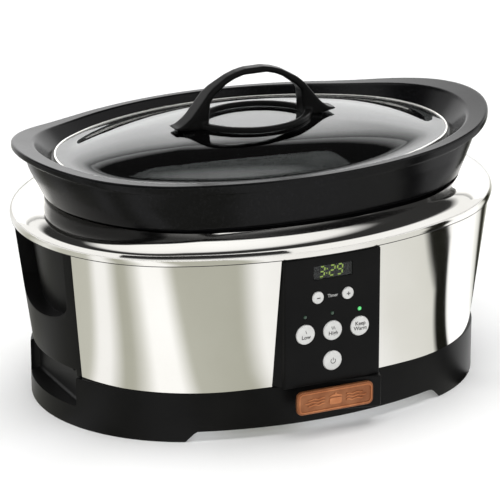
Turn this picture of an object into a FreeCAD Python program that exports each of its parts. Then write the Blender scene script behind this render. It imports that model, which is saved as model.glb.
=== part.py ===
import FreeCAD, Part
import math
import os
import re

import Sketcher

# Oval countertop slow cooker: a heated base with a steel wrap, a lift-out stoneware crock and a glass lid.
# Millimetres, +Z up, length along X, front towards -Y. The origin is on the resting plane, below the middle
# of the oval. Every plan outline is a four-arc oval: two end arcs and two flatter side arcs.

# Driving dimensions. An oval's inset is taken from the body oval, along the length and along the depth, and
# its end_drop is how much smaller its end arcs' radius is than its half depth.
SIZES = {
    # the whole body
    "body_half_length": 200.0,
    "body_half_depth": 144.3,
    "body_end_drop": 14.3,
    "base_height": 41.2,
    "wrap_height": 107.3,
    "fit_gap": 0.3,
    "cut_margin": 1.0,
    # moulded base
    "base_inset_x": 15.0,
    "base_inset_y": 10.3,
    "base_end_drop": 11.0,
    "base_wall": 3.0,
    "base_flange_width": 12.0,
    "arch_height": 9.1,
    "arch_half_length": 103.0,
    "arch_step": 9.0,
    "plate_gauge": 0.8,
    "boss_radius": 5.5,
    "boss_x": 118.0,
    "boss_inset_y": 44.3,
    "screw_radius": 1.5,
    "screw_length": 11.0,
    "screw_head_radius": 4.0,
    "screw_head_height": 2.2,
    "foot_radius": 8.0,
    "foot_x": 138.0,
    "foot_inset_y": 80.3,
    # finger recess in each end of the base
    "recess_half_width": 47.0,
    "recess_floor": 17.0,
    "recess_depth": 16.0,
    "tub_wall": 2.5,
    # front block of the base, under the control panel
    "block_setback": -2.7,
    "block_floor": 16.5,
    "block_lip": 1.0,
    "badge_width": 66.0,
    "badge_height": 19.0,
    "badge_corner": 4.5,
    "badge_middle": 30.6,
    "badge_thickness": 3.8,
    "badge_recess": 1.2,
    # cord gland in the rear wall
    "gland_height": 25.5,
    "gland_bore": 3.6,
    "gland_radius": 7.0,
    "gland_flange_radius": 10.0,
    "gland_flange": 3.0,
    "gland_length": 18.0,
    "gland_inside": 3.0,
    "gland_taper": 1.5,
    # steel wrap and collar
    "sheet_gauge": 0.8,
    "wrap_foot_inset_x": 18.1,
    "wrap_foot_inset_y": 11.7,
    "wrap_foot_end_drop": 4.6,
    "wrap_tuck": 2.0,
    "collar_gauge": 1.0,
    "collar_foot_inset": 0.6,
    "collar_bulge_rise": 4.0,
    "collar_rise": 20.0,
    "shoulder_inset_x": 2.6,
    "shoulder_inset_y": 2.1,
    "shoulder_end_drop": 13.7,
    "shoulder_below": 10.0,
    "slope_inset_x": 12.0,
    "slope_inset_y": 8.0,
    "slope_end_drop": 11.3,
    "slope_below": 4.2,
    "crest_inset_x": 25.0,
    "crest_inset_y": 16.0,
    "crest_end_drop": 7.8,
    "crest_below": 0.6,
    "lip_inset_x": 30.4,
    "lip_inset_y": 19.6,
    "lip_end_drop": 6.7,
    "lip_roll": 3.0,
    # side handles
    "handle_half_foot": 49.9,
    "handle_half_top": 58.9,
    "handle_depth": 16.0,
    "handle_wall": 3.0,
    "scoop_margin": 4.0,
    "scoop_middle": 84.0,
    "scoop_side": 93.0,
    "shield_foot": 47.0,
    "shield_top": 80.0,
    # heating well
    "can_wall": 1.0,
    "can_gap": 3.4,
    "can_floor": 22.0,
    "can_flange": 7.0,
    "can_foot_inset_x": 49.0,
    "can_foot_inset_y": 37.3,
    "can_foot_end_drop": 8.0,
    "heater_thickness": 3.0,
    "heater_low": 46.0,
    "heater_high": 80.0,
    "bolt_radius": 2.5,
    "bolt_head_radius": 9.0,
    "bolt_head_height": 1.2,
    "bolt_tip": 3.5,
    "nut_flats": 8.0,
    "nut_height": 4.0,
    "washer_radius": 7.0,
    "washer_thickness": 1.0,
    "sensor_radius": 8.0,
    "sensor_height": 6.0,
    "sensor_x": 45.0,
    # control panel
    "panel_setback": 1.3,
    "panel_half_width": 41.0,
    "panel_flare": 5.8,
    "panel_flare_depth": 14.0,
    "panel_depth": 20.0,
    "panel_wall": 2.0,
    "panel_top_gap": 1.3,
    "panel_side_gap": 2.4,
    "fascia_thickness": 2.5,
    "board_back": 9.5,
    "board_thickness": 1.6,
    "board_margin": 3.0,
    "window_half_width": 16.5,
    "window_height": 10.8,
    "window_middle": 93.2,
    "window_thickness": 2.0,
    "window_corner": 0.8,
    "window_setback": 0.2,
    "display_margin": 1.5,
    "big_button_radius": 8.0,
    "small_button_radius": 4.9,
    "button_proud": 1.6,
    "button_edge": 0.7,
    "button_flange": 1.2,
    "button_flange_thickness": 1.0,
    "button_travel": 0.8,
    "button_stem_radius": 2.0,
    "button_clearance": 0.3,
    "timer_row": 73.0,
    "timer_x": 12.9,
    "lamp_row": 58.3,
    "lamp_radius": 1.7,
    "lamp_proud": 0.2,
    "mode_row": 44.2,
    "mode_x": 23.5,
    "power_row": 19.3,
    "switch_width": 6.0,
    "switch_height": 3.4,
    "relay_width": 16.0,
    "relay_height": 20.0,
    "relay_thickness": 5.5,
    "relay_row": 34.0,
    "capacitor_radius": 2.6,
    "capacitor_length": 12.0,
    "capacitor_row": 64.0,
    # crock
    "crock_clearance": 2.6,
    "crock_floor_gap": 3.0,
    "crock_foot_shrink": 9.5,
    "crock_shoulder_inset_x": 26.5,
    "crock_shoulder_inset_y": 23.3,
    "crock_shoulder_end_drop": 11.0,
    "neck_inset_x": 12.0,
    "neck_inset_y": 20.3,
    "neck_end_drop": 24.0,
    "neck_rise": 28.2,
    "rim_inset_x": 0.0,
    "rim_inset_y": 20.3,
    "rim_end_drop": 29.0,
    "rim_rise": 37.2,
    "rim_thickness": 7.7,
    "rim_flat_half": 110.0,
    "rim_sweep": 10.8,
    "rim_under_sweep": 13.4,
    "rim_overrun": 3.0,
    "ledge_inset_x": 33.0,
    "ledge_inset_y": 31.7,
    "ledge_end_drop": 27.6,
    "ledge_rise": 26.3,
    "ledge_width": 6.3,
    "mouth_rise": 27.0,
    "mouth_spread_x": 22.0,
    "mouth_spread_y": 13.2,
    "bowl_wall": 8.0,
    "bowl_floor_thickness": 9.0,
    "bowl_corner": 16.0,
    "foot_corner": 12.0,
    # lid
    "lid_clearance": 1.6,
    "lid_rim_width": 4.5,
    "lid_rim_wall": 0.9,
    "glass_thickness": 3.2,
    "glass_gap": 0.1,
    "lid_flange": 12.3,
    "dome_height": 17.3,
    "dome_power": 3.0,
    "handle_gap": 0.3,
    "handle_ring_height": 5.6,
    "strap_width": 10.0,
    "leg_width": 16.0,
    "strap_half": 28.0,
    "leg_half": 46.0,
    "arch_top": 61.0,
    "arch_thickness": 4.5,
    "arch_radius": 60.9,
    "arch_knee": 51.0,
    "flare_radius": 28.6,
    "foot_tip": 73.0,
    "foot_tip_height": 3.1,
    "leg_inner": 42.0,
    "arch_inner_radius": 51.2,
    "ring_half_length": 52.0,
    "ring_half_width": 37.0,
    "ring_rail": 4.5,
    "ring_end_rail": 7.2,
    "lid_screw_x": 56.0,
    "lid_screw_radius": 2.0,
    "lid_screw_grip": 6.5,
    "lid_screw_head": 4.8,
    "lid_washer_radius": 5.5,
    "lid_washer_thickness": 1.6,
}

doc = FreeCAD.newDocument("slow_cooker")
sheet = doc.addObject("Spreadsheet::Sheet", "Sizes")
for row, (alias, size) in enumerate(SIZES.items(), start=1):
    sheet.set(f"A{row}", alias)
    sheet.set(f"B{row}", str(size))
    sheet.setAlias(f"B{row}", alias)
doc.recompute()

NODES = {}
LEAST_CUT = 0.001


# ---------------------------------------------------------------- expressions

def bound(text):
    """The expression with each size's name pointing at its cell."""
    return re.sub(r"[a-z][a-z0-9_]*", lambda m: "Sizes." + m[0] if m[0] in SIZES else m[0], str(text))


def number(text):
    return float(sheet.evalExpression(bound(text)))


# Heights and depths that several pieces share.
COLLAR_FOOT = "(base_height + wrap_height)"
LIP_TOP = "(base_height + wrap_height + collar_rise)"
WRAP_FOOT = "(base_height + fit_gap)"
WRAP_TOP = "(base_height + wrap_height + wrap_tuck)"
CROCK_REST = "(base_height + wrap_height + collar_rise + fit_gap)"
CROCK_FOOT = "(can_floor + can_wall + crock_floor_gap)"
LEDGE_TOP = f"({CROCK_REST} + ledge_rise)"
LID_FOOT = f"({LEDGE_TOP} + fit_gap)"
GLASS_FOOT = f"({LID_FOOT} + lid_rim_wall + glass_gap)"
GLASS_TOP = f"({GLASS_FOOT} + glass_thickness)"
PANEL_FACE = "(body_half_depth - panel_setback)"
PANEL_FOOT = "(base_height + block_lip + fit_gap)"
PANEL_TOP = f"({COLLAR_FOOT} - panel_top_gap)"
BLOCK_FACE = "(body_half_depth - block_setback)"
BOARD_FACE = f"({PANEL_FACE} - board_back)"
PLATE_FOOT = "(arch_height + fit_gap)"


# ---------------------------------------------------------------- outlines

def named_oval(name):
    return (f"(body_half_length - {name}_inset_x)", f"(body_half_depth - {name}_inset_y)",
            f"{name}_end_drop")


def shrunk(oval, gap):
    """The oval with its whole edge moved inwards."""
    return (f"({oval[0]} - ({gap}))", f"({oval[1]} - ({gap}))", oval[2])


def between(low, high, share):
    """The oval that lies part of the way from one to the other."""
    return tuple(f"({a} + ({b} - {a}) * ({share}))" for a, b in zip(low, high))


def scaled(oval, share):
    return tuple(f"({a} * {share})" for a in oval)


BODY = ("body_half_length", "body_half_depth", "body_end_drop")
BASE = named_oval("base")
LIP = named_oval("lip")
WRAP_LOW = named_oval("wrap_foot")
WRAP_HIGH = shrunk(BODY, "collar_foot_inset + collar_gauge + fit_gap")
CAN_HIGH = shrunk(LIP, "can_gap")
CAN_LOW = named_oval("can_foot")
LEDGE = named_oval("ledge")
LID = shrunk(LEDGE, "lid_clearance")


def oval_outline(oval):
    """Four tangent arcs. Each corner is (across, up, radius and turn of the arc that leaves it)."""
    length, depth, drop = oval
    end = f"({depth} - {drop})"
    centre = f"({length} - {end})"
    offset = f"(({centre} ^ 2 - {drop} ^ 2) / (2 * {drop}))"
    side = f"({depth} + {offset})"
    x = f"({centre} * (1 + {end} / ({drop} + {offset})))"
    y = f"({offset} * {end} / ({drop} + {offset}))"
    return [(x, f"-{y}", end, 1), (x, y, side, 1), (f"-{x}", y, end, 1), (f"-{x}", f"-{y}", side, 1)]


def box_outline(left, low, right, high):
    return [(left, low), (right, low), (right, high), (left, high)]


def rounded_outline(half_width, half_height, radius, middle="0"):
    """A rectangle about the vertical axis, with round corners."""
    a, b, r, m = f"({half_width})", f"({half_height})", f"({radius})", f"({middle})"
    return [
        (f"{a} - {r}", f"{m} - {b}", r, 1),
        (a, f"{m} - {b} + {r}"),
        (a, f"{m} + {b} - {r}", r, 1),
        (f"{a} - {r}", f"{m} + {b}"),
        (f"-{a} + {r}", f"{m} + {b}", r, 1),
        (f"-{a}", f"{m} + {b} - {r}"),
        (f"-{a}", f"{m} - {b} + {r}", r, 1),
        (f"-{a} + {r}", f"{m} - {b}"),
    ]


def circle(x, y, radius):
    return {"x": x, "y": y, "radius": radius}


def arc_between(start, end, radius, turn):
    """The arc under half a turn from start to end, counter-clockwise if turn is 1."""
    chord = end - start
    across = FreeCAD.Vector(-chord.y, chord.x, 0).normalize() * turn
    centre = start + chord * 0.5 + across * math.sqrt(max(radius ** 2 - chord.Length ** 2 / 4, 0.0))
    first, last = (start, end) if turn > 0 else (end, start)
    angles = [math.atan2(p.y - centre.y, p.x - centre.x) for p in (first, last)]
    if angles[1] < angles[0]:
        angles[1] += 2 * math.pi
    return Part.ArcOfCircle(Part.Circle(centre, FreeCAD.Vector(0, 0, 1), radius), *angles)


def bind(sketch, kind, *where):
    """Adds a dimension whose value is the expression given last."""
    index = sketch.addConstraint(Sketcher.Constraint(kind, *where[:-1], number(where[-1])))
    sketch.setExpression(f"Constraints[{index}]", bound(where[-1]))


def draw(sketch, outline):
    """Adds one closed outline, with every corner and radius bound to the sheet."""
    if isinstance(outline, dict):
        centre = FreeCAD.Vector(number(outline["x"]), number(outline["y"]), 0)
        shape = Part.Circle(centre, FreeCAD.Vector(0, 0, 1), number(outline["radius"]))
        index = sketch.addGeometry(shape)
        bind(sketch, "DistanceX", index, 3, outline["x"])
        bind(sketch, "DistanceY", index, 3, outline["y"])
        bind(sketch, "Radius", index, outline["radius"])
        return
    points = [FreeCAD.Vector(number(corner[0]), number(corner[1]), 0) for corner in outline]
    edges = []
    for corner, start, end in zip(outline, points, points[1:] + points[:1]):
        if len(corner) == 2:
            edges.append((sketch.addGeometry(Part.LineSegment(start, end)), 1, 2))
            continue
        arc = arc_between(start, end, number(corner[2]), corner[3])
        ends = (1, 2) if corner[3] > 0 else (2, 1)
        edges.append((sketch.addGeometry(arc), *ends))
    for corner, edge, following in zip(outline, edges, edges[1:] + edges[:1]):
        sketch.addConstraint(Sketcher.Constraint("Coincident", edge[0], edge[2], following[0], following[1]))
        bind(sketch, "DistanceX", edge[0], edge[1], corner[0])
        bind(sketch, "DistanceY", edge[0], edge[1], corner[1])
        if len(corner) == 4:
            bind(sketch, "Radius", edge[0], corner[2])


# ---------------------------------------------------------------- features

class Piece:
    """A body that is built up by sketches and features, in the order that it is made."""

    def __init__(self, name):
        self.body = doc.addObject("PartDesign::Body", name)
        self.body.Label = name

    def sketch(self, plane, height, *outlines):
        """A sketch on one of the body's origin planes: XZ sketches count their height towards the front."""
        sketch = self.body.newObject("Sketcher::SketchObject", "outline")
        origin = [f for f in self.body.Origin.OriginFeatures if f.Role == plane + "_Plane"][0]
        sketch.AttachmentSupport = [(origin, "")]
        sketch.MapMode = "FlatFace"
        sketch.setExpression("AttachmentOffset.Base.z", bound(height))
        for outline in outlines:
            draw(sketch, outline)
        return sketch

    def feature(self, kind, sketch, length, side):
        feature = self.body.newObject("PartDesign::" + kind, kind.lower())
        feature.Profile = sketch
        feature.setExpression("Length", bound(length))
        if side == "both":
            feature.SideType = "Symmetric"
        if side == "back":
            feature.Reversed = True
        doc.recompute()
        return feature

    def pad(self, plane, height, length, *outlines, side="front"):
        return self.feature("Pad", self.sketch(plane, height, *outlines), length, side)

    def pocket(self, plane, height, length, *outlines, side="front"):
        """Cuts away from the sketch's normal; it must take something off."""
        before = self.body.Shape.Volume
        feature = self.feature("Pocket", self.sketch(plane, height, *outlines), length, side)
        if self.body.Shape.Volume > before - LEAST_CUT:
            raise RuntimeError(f"a pocket of {self.body.Label} cuts nothing")
        return feature

    def loft(self, kind, levels, ruled=True):
        """Joins outlines that lie at rising heights. A level is (height, outline, ...)."""
        sketches = [self.sketch("XY", level[0], *level[1:]) for level in levels]
        feature = self.body.newObject(f"PartDesign::{kind}Loft", "loft")
        feature.Profile = sketches[0]
        feature.Sections = sketches[1:]
        feature.Ruled = ruled
        doc.recompute()
        return feature

    def turn(self, outline):
        """Revolves an outline, drawn as (radius, distance along Y), about the body's Y axis."""
        sketch = self.sketch("XY", "0", outline)
        feature = self.body.newObject("PartDesign::Revolution", "turned")
        feature.Profile = sketch
        feature.ReferenceAxis = (sketch, ["V_Axis"])
        feature.Angle = 360
        doc.recompute()
        return feature

    def place(self, x="0", y="0", z="0"):
        for axis, where in zip("xyz", (x, y, z)):
            self.body.setExpression(f"Placement.Base.{axis}", bound(where))
        doc.recompute()
        return self

    def upright(self):
        """Stands a turned piece up: its Y axis becomes +Z."""
        self.body.Placement.Rotation = FreeCAD.Rotation(FreeCAD.Vector(1, 0, 0), 90)
        return self


def keep(name, shape_object):
    """Registers an object as the node of that name."""
    shape_object.Label = name
    NODES[name] = shape_object


def group(name, pieces):
    """Several separate solids that share one node."""
    compound = doc.addObject("Part::Compound", name)
    compound.Links = [piece.body for piece in pieces]
    doc.recompute()
    keep(name, compound)


AROUND = box_outline("-body_half_length * 1.5", "-body_half_depth * 1.5", "body_half_length * 1.5",
                     "body_half_depth * 1.5")
DEEP = "body_half_length * 4"
CORNERS = [(sx, sy) for sx in ("", "-") for sy in ("", "-")]


# ---------------------------------------------------------------- moulded base

def recess_box(side, near, far, half_width):
    """A box outline at one end of the oval; near and far are insets from the base's end."""
    edges = sorted([f"{side}({BASE[0]} - ({near}))", f"{side}({BASE[0]} - ({far}))"], key=number)
    return box_outline(edges[0], f"-({half_width})", edges[1], f"({half_width})")


def panel_plan(front, back):
    """The panel's tapered plan between two depths behind its face."""
    rate = "panel_flare / panel_flare_depth"
    narrow = f"(panel_half_width + {rate} * ({front}))"
    wide = f"(panel_half_width + {rate} * ({back}))"
    y_front = f"-({PANEL_FACE} - ({front}))"
    y_back = f"-({PANEL_FACE} - ({back}))"
    return [(f"-{narrow}", y_front), (narrow, y_front), (wide, y_back), (f"-{wide}", y_back)]


def base_housing():
    base = Piece("base_housing")
    base.pad("XY", "0", "base_height", oval_outline(BASE))
    base.pocket("XY", "base_height", "base_height", oval_outline(shrunk(BASE, "base_wall")))
    base.pad("XY", "base_height - base_wall", "base_wall", oval_outline(shrunk(BASE, "base_wall / 2")),
             oval_outline(shrunk(BASE, "base_flange_width")))
    tub_height = "base_height - base_wall / 2 - recess_floor + tub_wall"
    for side in ("", "-"):
        tub = recess_box(side, "base_wall / 2", "recess_depth + tub_wall", "recess_half_width + tub_wall")
        base.pad("XY", "recess_floor - tub_wall", tub_height, tub)
    base.pocket("XY", "base_height", "base_height", AROUND, oval_outline(BASE))
    for side in ("", "-"):
        hollow = recess_box(side, "-base_wall", "recess_depth", "recess_half_width")
        base.pocket("XY", "base_height", "base_height - recess_floor", hollow)
    arch = [
        ("-arch_half_length - arch_step", "-1"),
        ("arch_half_length + arch_step", "-1"),
        ("arch_half_length + arch_step", "0"),
        ("arch_half_length", "arch_height"),
        ("-arch_half_length", "arch_height"),
        ("-arch_half_length - arch_step", "0"),
    ]
    base.pocket("XZ", "0", DEEP, arch, side="both")
    # Front block that carries the badge; its top lip stands in front of the panel's foot.
    block_depth = f"{BLOCK_FACE} - {PANEL_FACE}"
    block = panel_plan(f"-({block_depth})", "panel_flare_depth")
    block[0] = ("-panel_half_width", f"-{BLOCK_FACE}")
    block[1] = ("panel_half_width", f"-{BLOCK_FACE}")
    base.pad("XY", "block_floor", "base_height + block_lip - block_floor", block)
    room = box_outline("-panel_half_width + base_wall", "block_floor + base_wall",
                       "panel_half_width - base_wall", "base_height - base_wall")
    base.pocket("XZ", f"{BLOCK_FACE} - base_wall", "panel_flare_depth + base_wall * 3", room)
    seat = rounded_outline("badge_width / 2 + fit_gap", "badge_height / 2 + fit_gap",
                           "badge_corner + fit_gap", "badge_middle")
    base.pocket("XZ", BLOCK_FACE, "badge_recess", seat)
    bosses = [circle(f"{sx}boss_x", f"{sy}(body_half_depth - boss_inset_y)", "boss_radius")
              for sx, sy in CORNERS]
    boss_foot = f"{PLATE_FOOT} + plate_gauge + fit_gap"
    base.pad("XY", boss_foot, f"base_height - base_wall / 2 - ({boss_foot})", *bosses)
    holes = [dict(boss, radius="screw_radius + fit_gap") for boss in bosses]
    base.pocket("XY", boss_foot, "screw_length + fit_gap", *holes, side="back")
    base.pocket("XZ", f"-({BASE[1]} + base_wall)", "base_wall * 3",
                circle("0", "gland_height", "gland_radius + fit_gap"), side="back")
    keep("base_housing", base.body)


def base_plate():
    plate = Piece("base_plate")
    plate.pad("XY", PLATE_FOOT, "plate_gauge", oval_outline(shrunk(BASE, "base_wall + fit_gap")))
    holes = [circle(f"{sx}boss_x", f"{sy}(body_half_depth - boss_inset_y)", "screw_radius + fit_gap")
             for sx, sy in CORNERS]
    holes.append(circle("0", "0", "bolt_radius + fit_gap"))
    plate.pocket("XY", f"{PLATE_FOOT} + plate_gauge", "plate_gauge", *holes)
    keep("base_plate", plate.body)


def rubber_feet():
    feet = []
    for index, (sx, sy) in enumerate(CORNERS, start=1):
        foot = Piece(f"rubber_foot_{index}")
        foot.pad("XY", "0", f"{PLATE_FOOT} - fit_gap",
                 circle(f"{sx}foot_x", f"{sy}(body_half_depth - foot_inset_y)", "foot_radius"))
        feet.append(foot)
    group("rubber_feet", feet)


def screw(name, head_radius, head_height, shank_radius, shank_length):
    """A pan-head screw along its own axis: the head's seat is at the origin and the shank points up."""
    piece = Piece(name)
    piece.turn([("0", f"-({head_height})"), (head_radius, f"-({head_height})"), (head_radius, "0"),
                (shank_radius, "0"), (shank_radius, shank_length), ("0", shank_length)])
    return piece.upright()


def base_screws():
    screws = []
    for index, (sx, sy) in enumerate(CORNERS, start=1):
        piece = screw(f"base_screw_{index}", "screw_head_radius", "screw_head_height", "screw_radius",
                      "screw_length")
        screws.append(piece.place(f"{sx}boss_x", f"{sy}(body_half_depth - boss_inset_y)", PLATE_FOOT))
    group("base_screws", screws)


def cord_gland():
    gland = Piece("cord_gland")
    wall = f"({BASE[1]} + fit_gap)"
    outer = f"({BASE[1]} - base_wall - gland_inside + gland_length)"
    inner = f"({BASE[1]} - base_wall - gland_inside)"
    gland.turn([("gland_bore", inner), ("gland_radius", inner), ("gland_radius", wall),
                ("gland_flange_radius", wall), ("gland_flange_radius", f"{wall} + gland_flange"),
                ("gland_radius", f"{wall} + gland_flange"), ("gland_radius - gland_taper", outer),
                ("gland_bore", outer)])
    gland.place(z="gland_height")
    keep("cord_gland", gland.body)


# ---------------------------------------------------------------- steel wrap and collar

def handle_side(extra):
    """The slanting edge that parts a side handle from the wrap, as two half widths."""
    slope = "(handle_half_top - handle_half_foot) / wrap_height"
    return (f"(handle_half_foot + {extra} - {slope} * base_height)",
            f"(handle_half_top + {extra} + {slope} * base_height)")


def wrap(name, front):
    piece = Piece(name)
    for kind, gap in (("Additive", "0"), ("Subtractive", "sheet_gauge")):
        piece.loft(kind, [(WRAP_FOOT, oval_outline(shrunk(WRAP_LOW, gap))),
                          (WRAP_TOP, oval_outline(shrunk(WRAP_HIGH, gap)))])
    low, high = handle_side("fit_gap")
    sign, far = ("-", "body_half_depth * 2") if front else ("", "-body_half_depth * 2")
    away = [(f"{sign}{low}", "0"), (far, "0"), (far, f"{COLLAR_FOOT} + base_height"),
            (f"{sign}{high}", f"{COLLAR_FOOT} + base_height")]
    piece.pocket("YZ", "0", DEEP, away if front else away[::-1], side="both")
    if front:
        foot_width = "(panel_half_width + panel_flare + fit_gap)"
        top_width = "(panel_half_width + panel_side_gap)"
        gap = [(f"-{foot_width}", "0"), (foot_width, "0"), (foot_width, "base_height"),
               (top_width, f"{PANEL_TOP} + fit_gap"), (f"-{top_width}", f"{PANEL_TOP} + fit_gap"),
               (f"-{foot_width}", "base_height")]
        piece.pocket("XZ", "0", DEEP, gap, side="both")
    keep(name, piece.body)


def collar():
    ring = Piece("collar")
    # Each level is its height, its oval, and how much of the gauge is taken across and down inside it.
    ovals = [
        (COLLAR_FOOT, shrunk(BODY, "collar_foot_inset"), 1.0, 0.0),
        (f"{COLLAR_FOOT} + collar_bulge_rise", BODY, 1.0, 0.0),
        (f"{LIP_TOP} - shoulder_below", named_oval("shoulder"), 1.0, 0.4),
        (f"{LIP_TOP} - slope_below", named_oval("slope"), 0.4, 0.9),
        (f"{LIP_TOP} - crest_below", named_oval("crest"), 0.1, 1.0),
        (LIP_TOP, LIP, 0.0, 1.0),
    ]
    ring.loft("Additive", [(height, oval_outline(oval)) for height, oval, _, _ in ovals], ruled=False)
    inner = [(f"{height} - collar_gauge * {down}", oval_outline(shrunk(oval, f"collar_gauge * {across}")))
             for height, oval, across, down in ovals]
    ring.loft("Subtractive", inner, ruled=False)
    # The inner edge is rolled down around the opening.
    ring.pad("XY", f"{LIP_TOP} - lip_roll", "lip_roll - collar_gauge / 4",
             oval_outline(shrunk(LIP, "-collar_gauge")), oval_outline(LIP))
    ring.pocket("XY", f"{LIP_TOP} + cut_margin", "collar_rise", oval_outline(LIP))
    keep("collar", ring.body)


# ---------------------------------------------------------------- side handles

def wrap_ring(name, outside, inside):
    """A wall that follows the wrap from its foot to its top, between two depths."""
    ring = Piece(name)
    for kind, gap in (("Additive", outside), ("Subtractive", inside)):
        ring.loft(kind, [(WRAP_FOOT, oval_outline(shrunk(WRAP_LOW, gap))),
                         (WRAP_TOP, oval_outline(shrunk(WRAP_HIGH, gap)))])
    return ring


def joined(kind, name, *shapes):
    """A boolean of two or more finished shapes."""
    result = doc.addObject("Part::" + kind, name)
    if kind == "Cut":
        result.Base, result.Tool = shapes
    else:
        result.Shapes = list(shapes)
    doc.recompute()
    return result


def side_handle(name, side):
    """A moulded insert with a scoop over the top and a finger space behind its shield."""
    block = wrap_ring(name + "_block", "0", "handle_depth")
    low, high = handle_side("0")
    outline = [(f"-{low}", "0"), (low, "0"), (high, f"{COLLAR_FOOT} + base_height"),
               (f"-{high}", f"{COLLAR_FOOT} + base_height")]
    around = box_outline("-body_half_depth * 2", "-base_height", "body_half_depth * 2", f"{COLLAR_FOOT} * 2")
    block.pocket("YZ", "0", DEEP, around, outline, side="both")
    other = "-" if side == "" else ""
    edges = sorted(["0", f"{other}body_half_length * 2"], key=number)
    block.pocket("XY", f"{WRAP_TOP} + cut_margin", f"{WRAP_TOP} + cut_margin",
                 box_outline(edges[0], "-body_half_depth * 2", edges[1], "body_half_depth * 2"))
    half = "(handle_half_foot - scoop_margin)"
    sagitta = "(scoop_side - scoop_middle)"
    scoop_outline = [
        (f"-{half}", "scoop_side", f"(({half} ^ 2 + {sagitta} ^ 2) / (2 * {sagitta}))", 1),
        (half, "scoop_side"),
        ("(handle_half_top - scoop_margin)", f"{COLLAR_FOOT} + base_height"),
        ("-(handle_half_top - scoop_margin)", f"{COLLAR_FOOT} + base_height"),
    ]
    cuts = []
    for part, outside, inside, shape in (
        ("scoop", "-handle_wall", "handle_depth - handle_wall", scoop_outline),
        ("finger_space", "handle_wall", "handle_depth - handle_wall",
         box_outline(f"-{half}", "0", half, "shield_top")),
        ("finger_entry", "-handle_wall", "handle_wall + cut_margin",
         box_outline(f"-{half}", "0", half, "shield_foot")),
    ):
        prism = Piece(f"{name}_{part}_prism")
        prism.pad("YZ", "0", DEEP, shape, side="both")
        depth = wrap_ring(f"{name}_{part}_depth", outside, inside)
        cuts.append(joined("MultiCommon", f"{name}_{part}", prism.body, depth.body))
    keep(name, joined("Cut", name, block.body, joined("MultiFuse", name + "_hollows", *cuts)))


# ---------------------------------------------------------------- heating well

CAN_TOP = f"({LIP_TOP} - lip_roll - fit_gap)"


def can_oval(height, outwards):
    share = f"(({height}) - can_floor) / ({CAN_TOP} - can_floor)"
    return shrunk(between(CAN_LOW, CAN_HIGH, share), f"-({outwards})")


def heating_can():
    can = Piece("heating_can")
    can.loft("Additive", [("can_floor", oval_outline(CAN_LOW)), (CAN_TOP, oval_outline(CAN_HIGH))])
    can.pad("XY", f"{CAN_TOP} - can_wall", "can_wall", oval_outline(shrunk(CAN_HIGH, "-can_flange")))
    can.loft("Subtractive", [("can_floor + can_wall", oval_outline(shrunk(CAN_LOW, "can_wall"))),
                             (f"{CAN_TOP} + cut_margin", oval_outline(shrunk(CAN_HIGH, "can_wall")))])
    can.pocket("XY", "can_floor + can_wall", "can_wall", circle("0", "0", "bolt_radius + fit_gap"))
    keep("heating_can", can.body)


def heater_band():
    band = Piece("heater_band")
    levels = []
    for height in ("heater_low", "heater_high"):
        outer = oval_outline(can_oval(height, "heater_thickness + fit_gap"))
        levels.append((height, outer, oval_outline(can_oval(height, "fit_gap"))))
    band.loft("Additive", levels)
    keep("heater_band", band.body)


def tie_parts():
    """The bolt that pulls the heating well down on to the base plate, with its washer and nut."""
    bolt = Piece("tie_bolt")
    head = "(can_floor + can_wall + fit_gap)"
    bolt.turn([("0", "-bolt_tip"), ("0", f"-({head} + bolt_head_height)"),
               ("bolt_head_radius", f"-({head} + bolt_head_height)"), ("bolt_head_radius", f"-{head}"),
               ("bolt_radius", f"-{head}"), ("bolt_radius", "-bolt_tip")][::-1])
    bolt.body.Placement.Rotation = FreeCAD.Rotation(FreeCAD.Vector(1, 0, 0), -90)
    keep("tie_bolt", bolt.body)
    washer = Piece("tie_washer")
    washer.pad("XY", f"{PLATE_FOOT} - washer_thickness", "washer_thickness",
               circle("0", "0", "washer_radius"), circle("0", "0", "bolt_radius + fit_gap"))
    keep("tie_washer", washer.body)
    nut = Piece("tie_nut")
    across = "(nut_flats / 2)"
    point = "(nut_flats / sqrt(3))"
    hexagon = [(point, "0"), (f"{point} / 2", across), (f"-{point} / 2", across), (f"-{point}", "0"),
               (f"-{point} / 2", f"-{across}"), (f"{point} / 2", f"-{across}")]
    nut.pad("XY", f"{PLATE_FOOT} - washer_thickness - nut_height", "nut_height", hexagon,
            circle("0", "0", "bolt_radius + fit_gap / 3"))
    keep("tie_nut", nut.body)


def temperature_sensor():
    sensor = Piece("temperature_sensor")
    sensor.pad("XY", "can_floor - fit_gap - sensor_height", "sensor_height",
               circle("sensor_x", "0", "sensor_radius"))
    keep("temperature_sensor", sensor.body)


# ---------------------------------------------------------------- control panel

MODES = [("low", "-mode_x"), ("high", "0"), ("keep_warm", "mode_x")]
BUTTONS = [
    ("button_minus", "-timer_x", "timer_row", "small_button_radius"),
    ("button_plus", "timer_x", "timer_row", "small_button_radius"),
    ("button_low", "-mode_x", "mode_row", "big_button_radius"),
    ("button_high", "0", "mode_row", "big_button_radius"),
    ("button_keep_warm", "mode_x", "mode_row", "big_button_radius"),
    ("button_power", "0", "power_row", "big_button_radius"),
]


def row_height(row):
    return f"(base_height + {row})"


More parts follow.
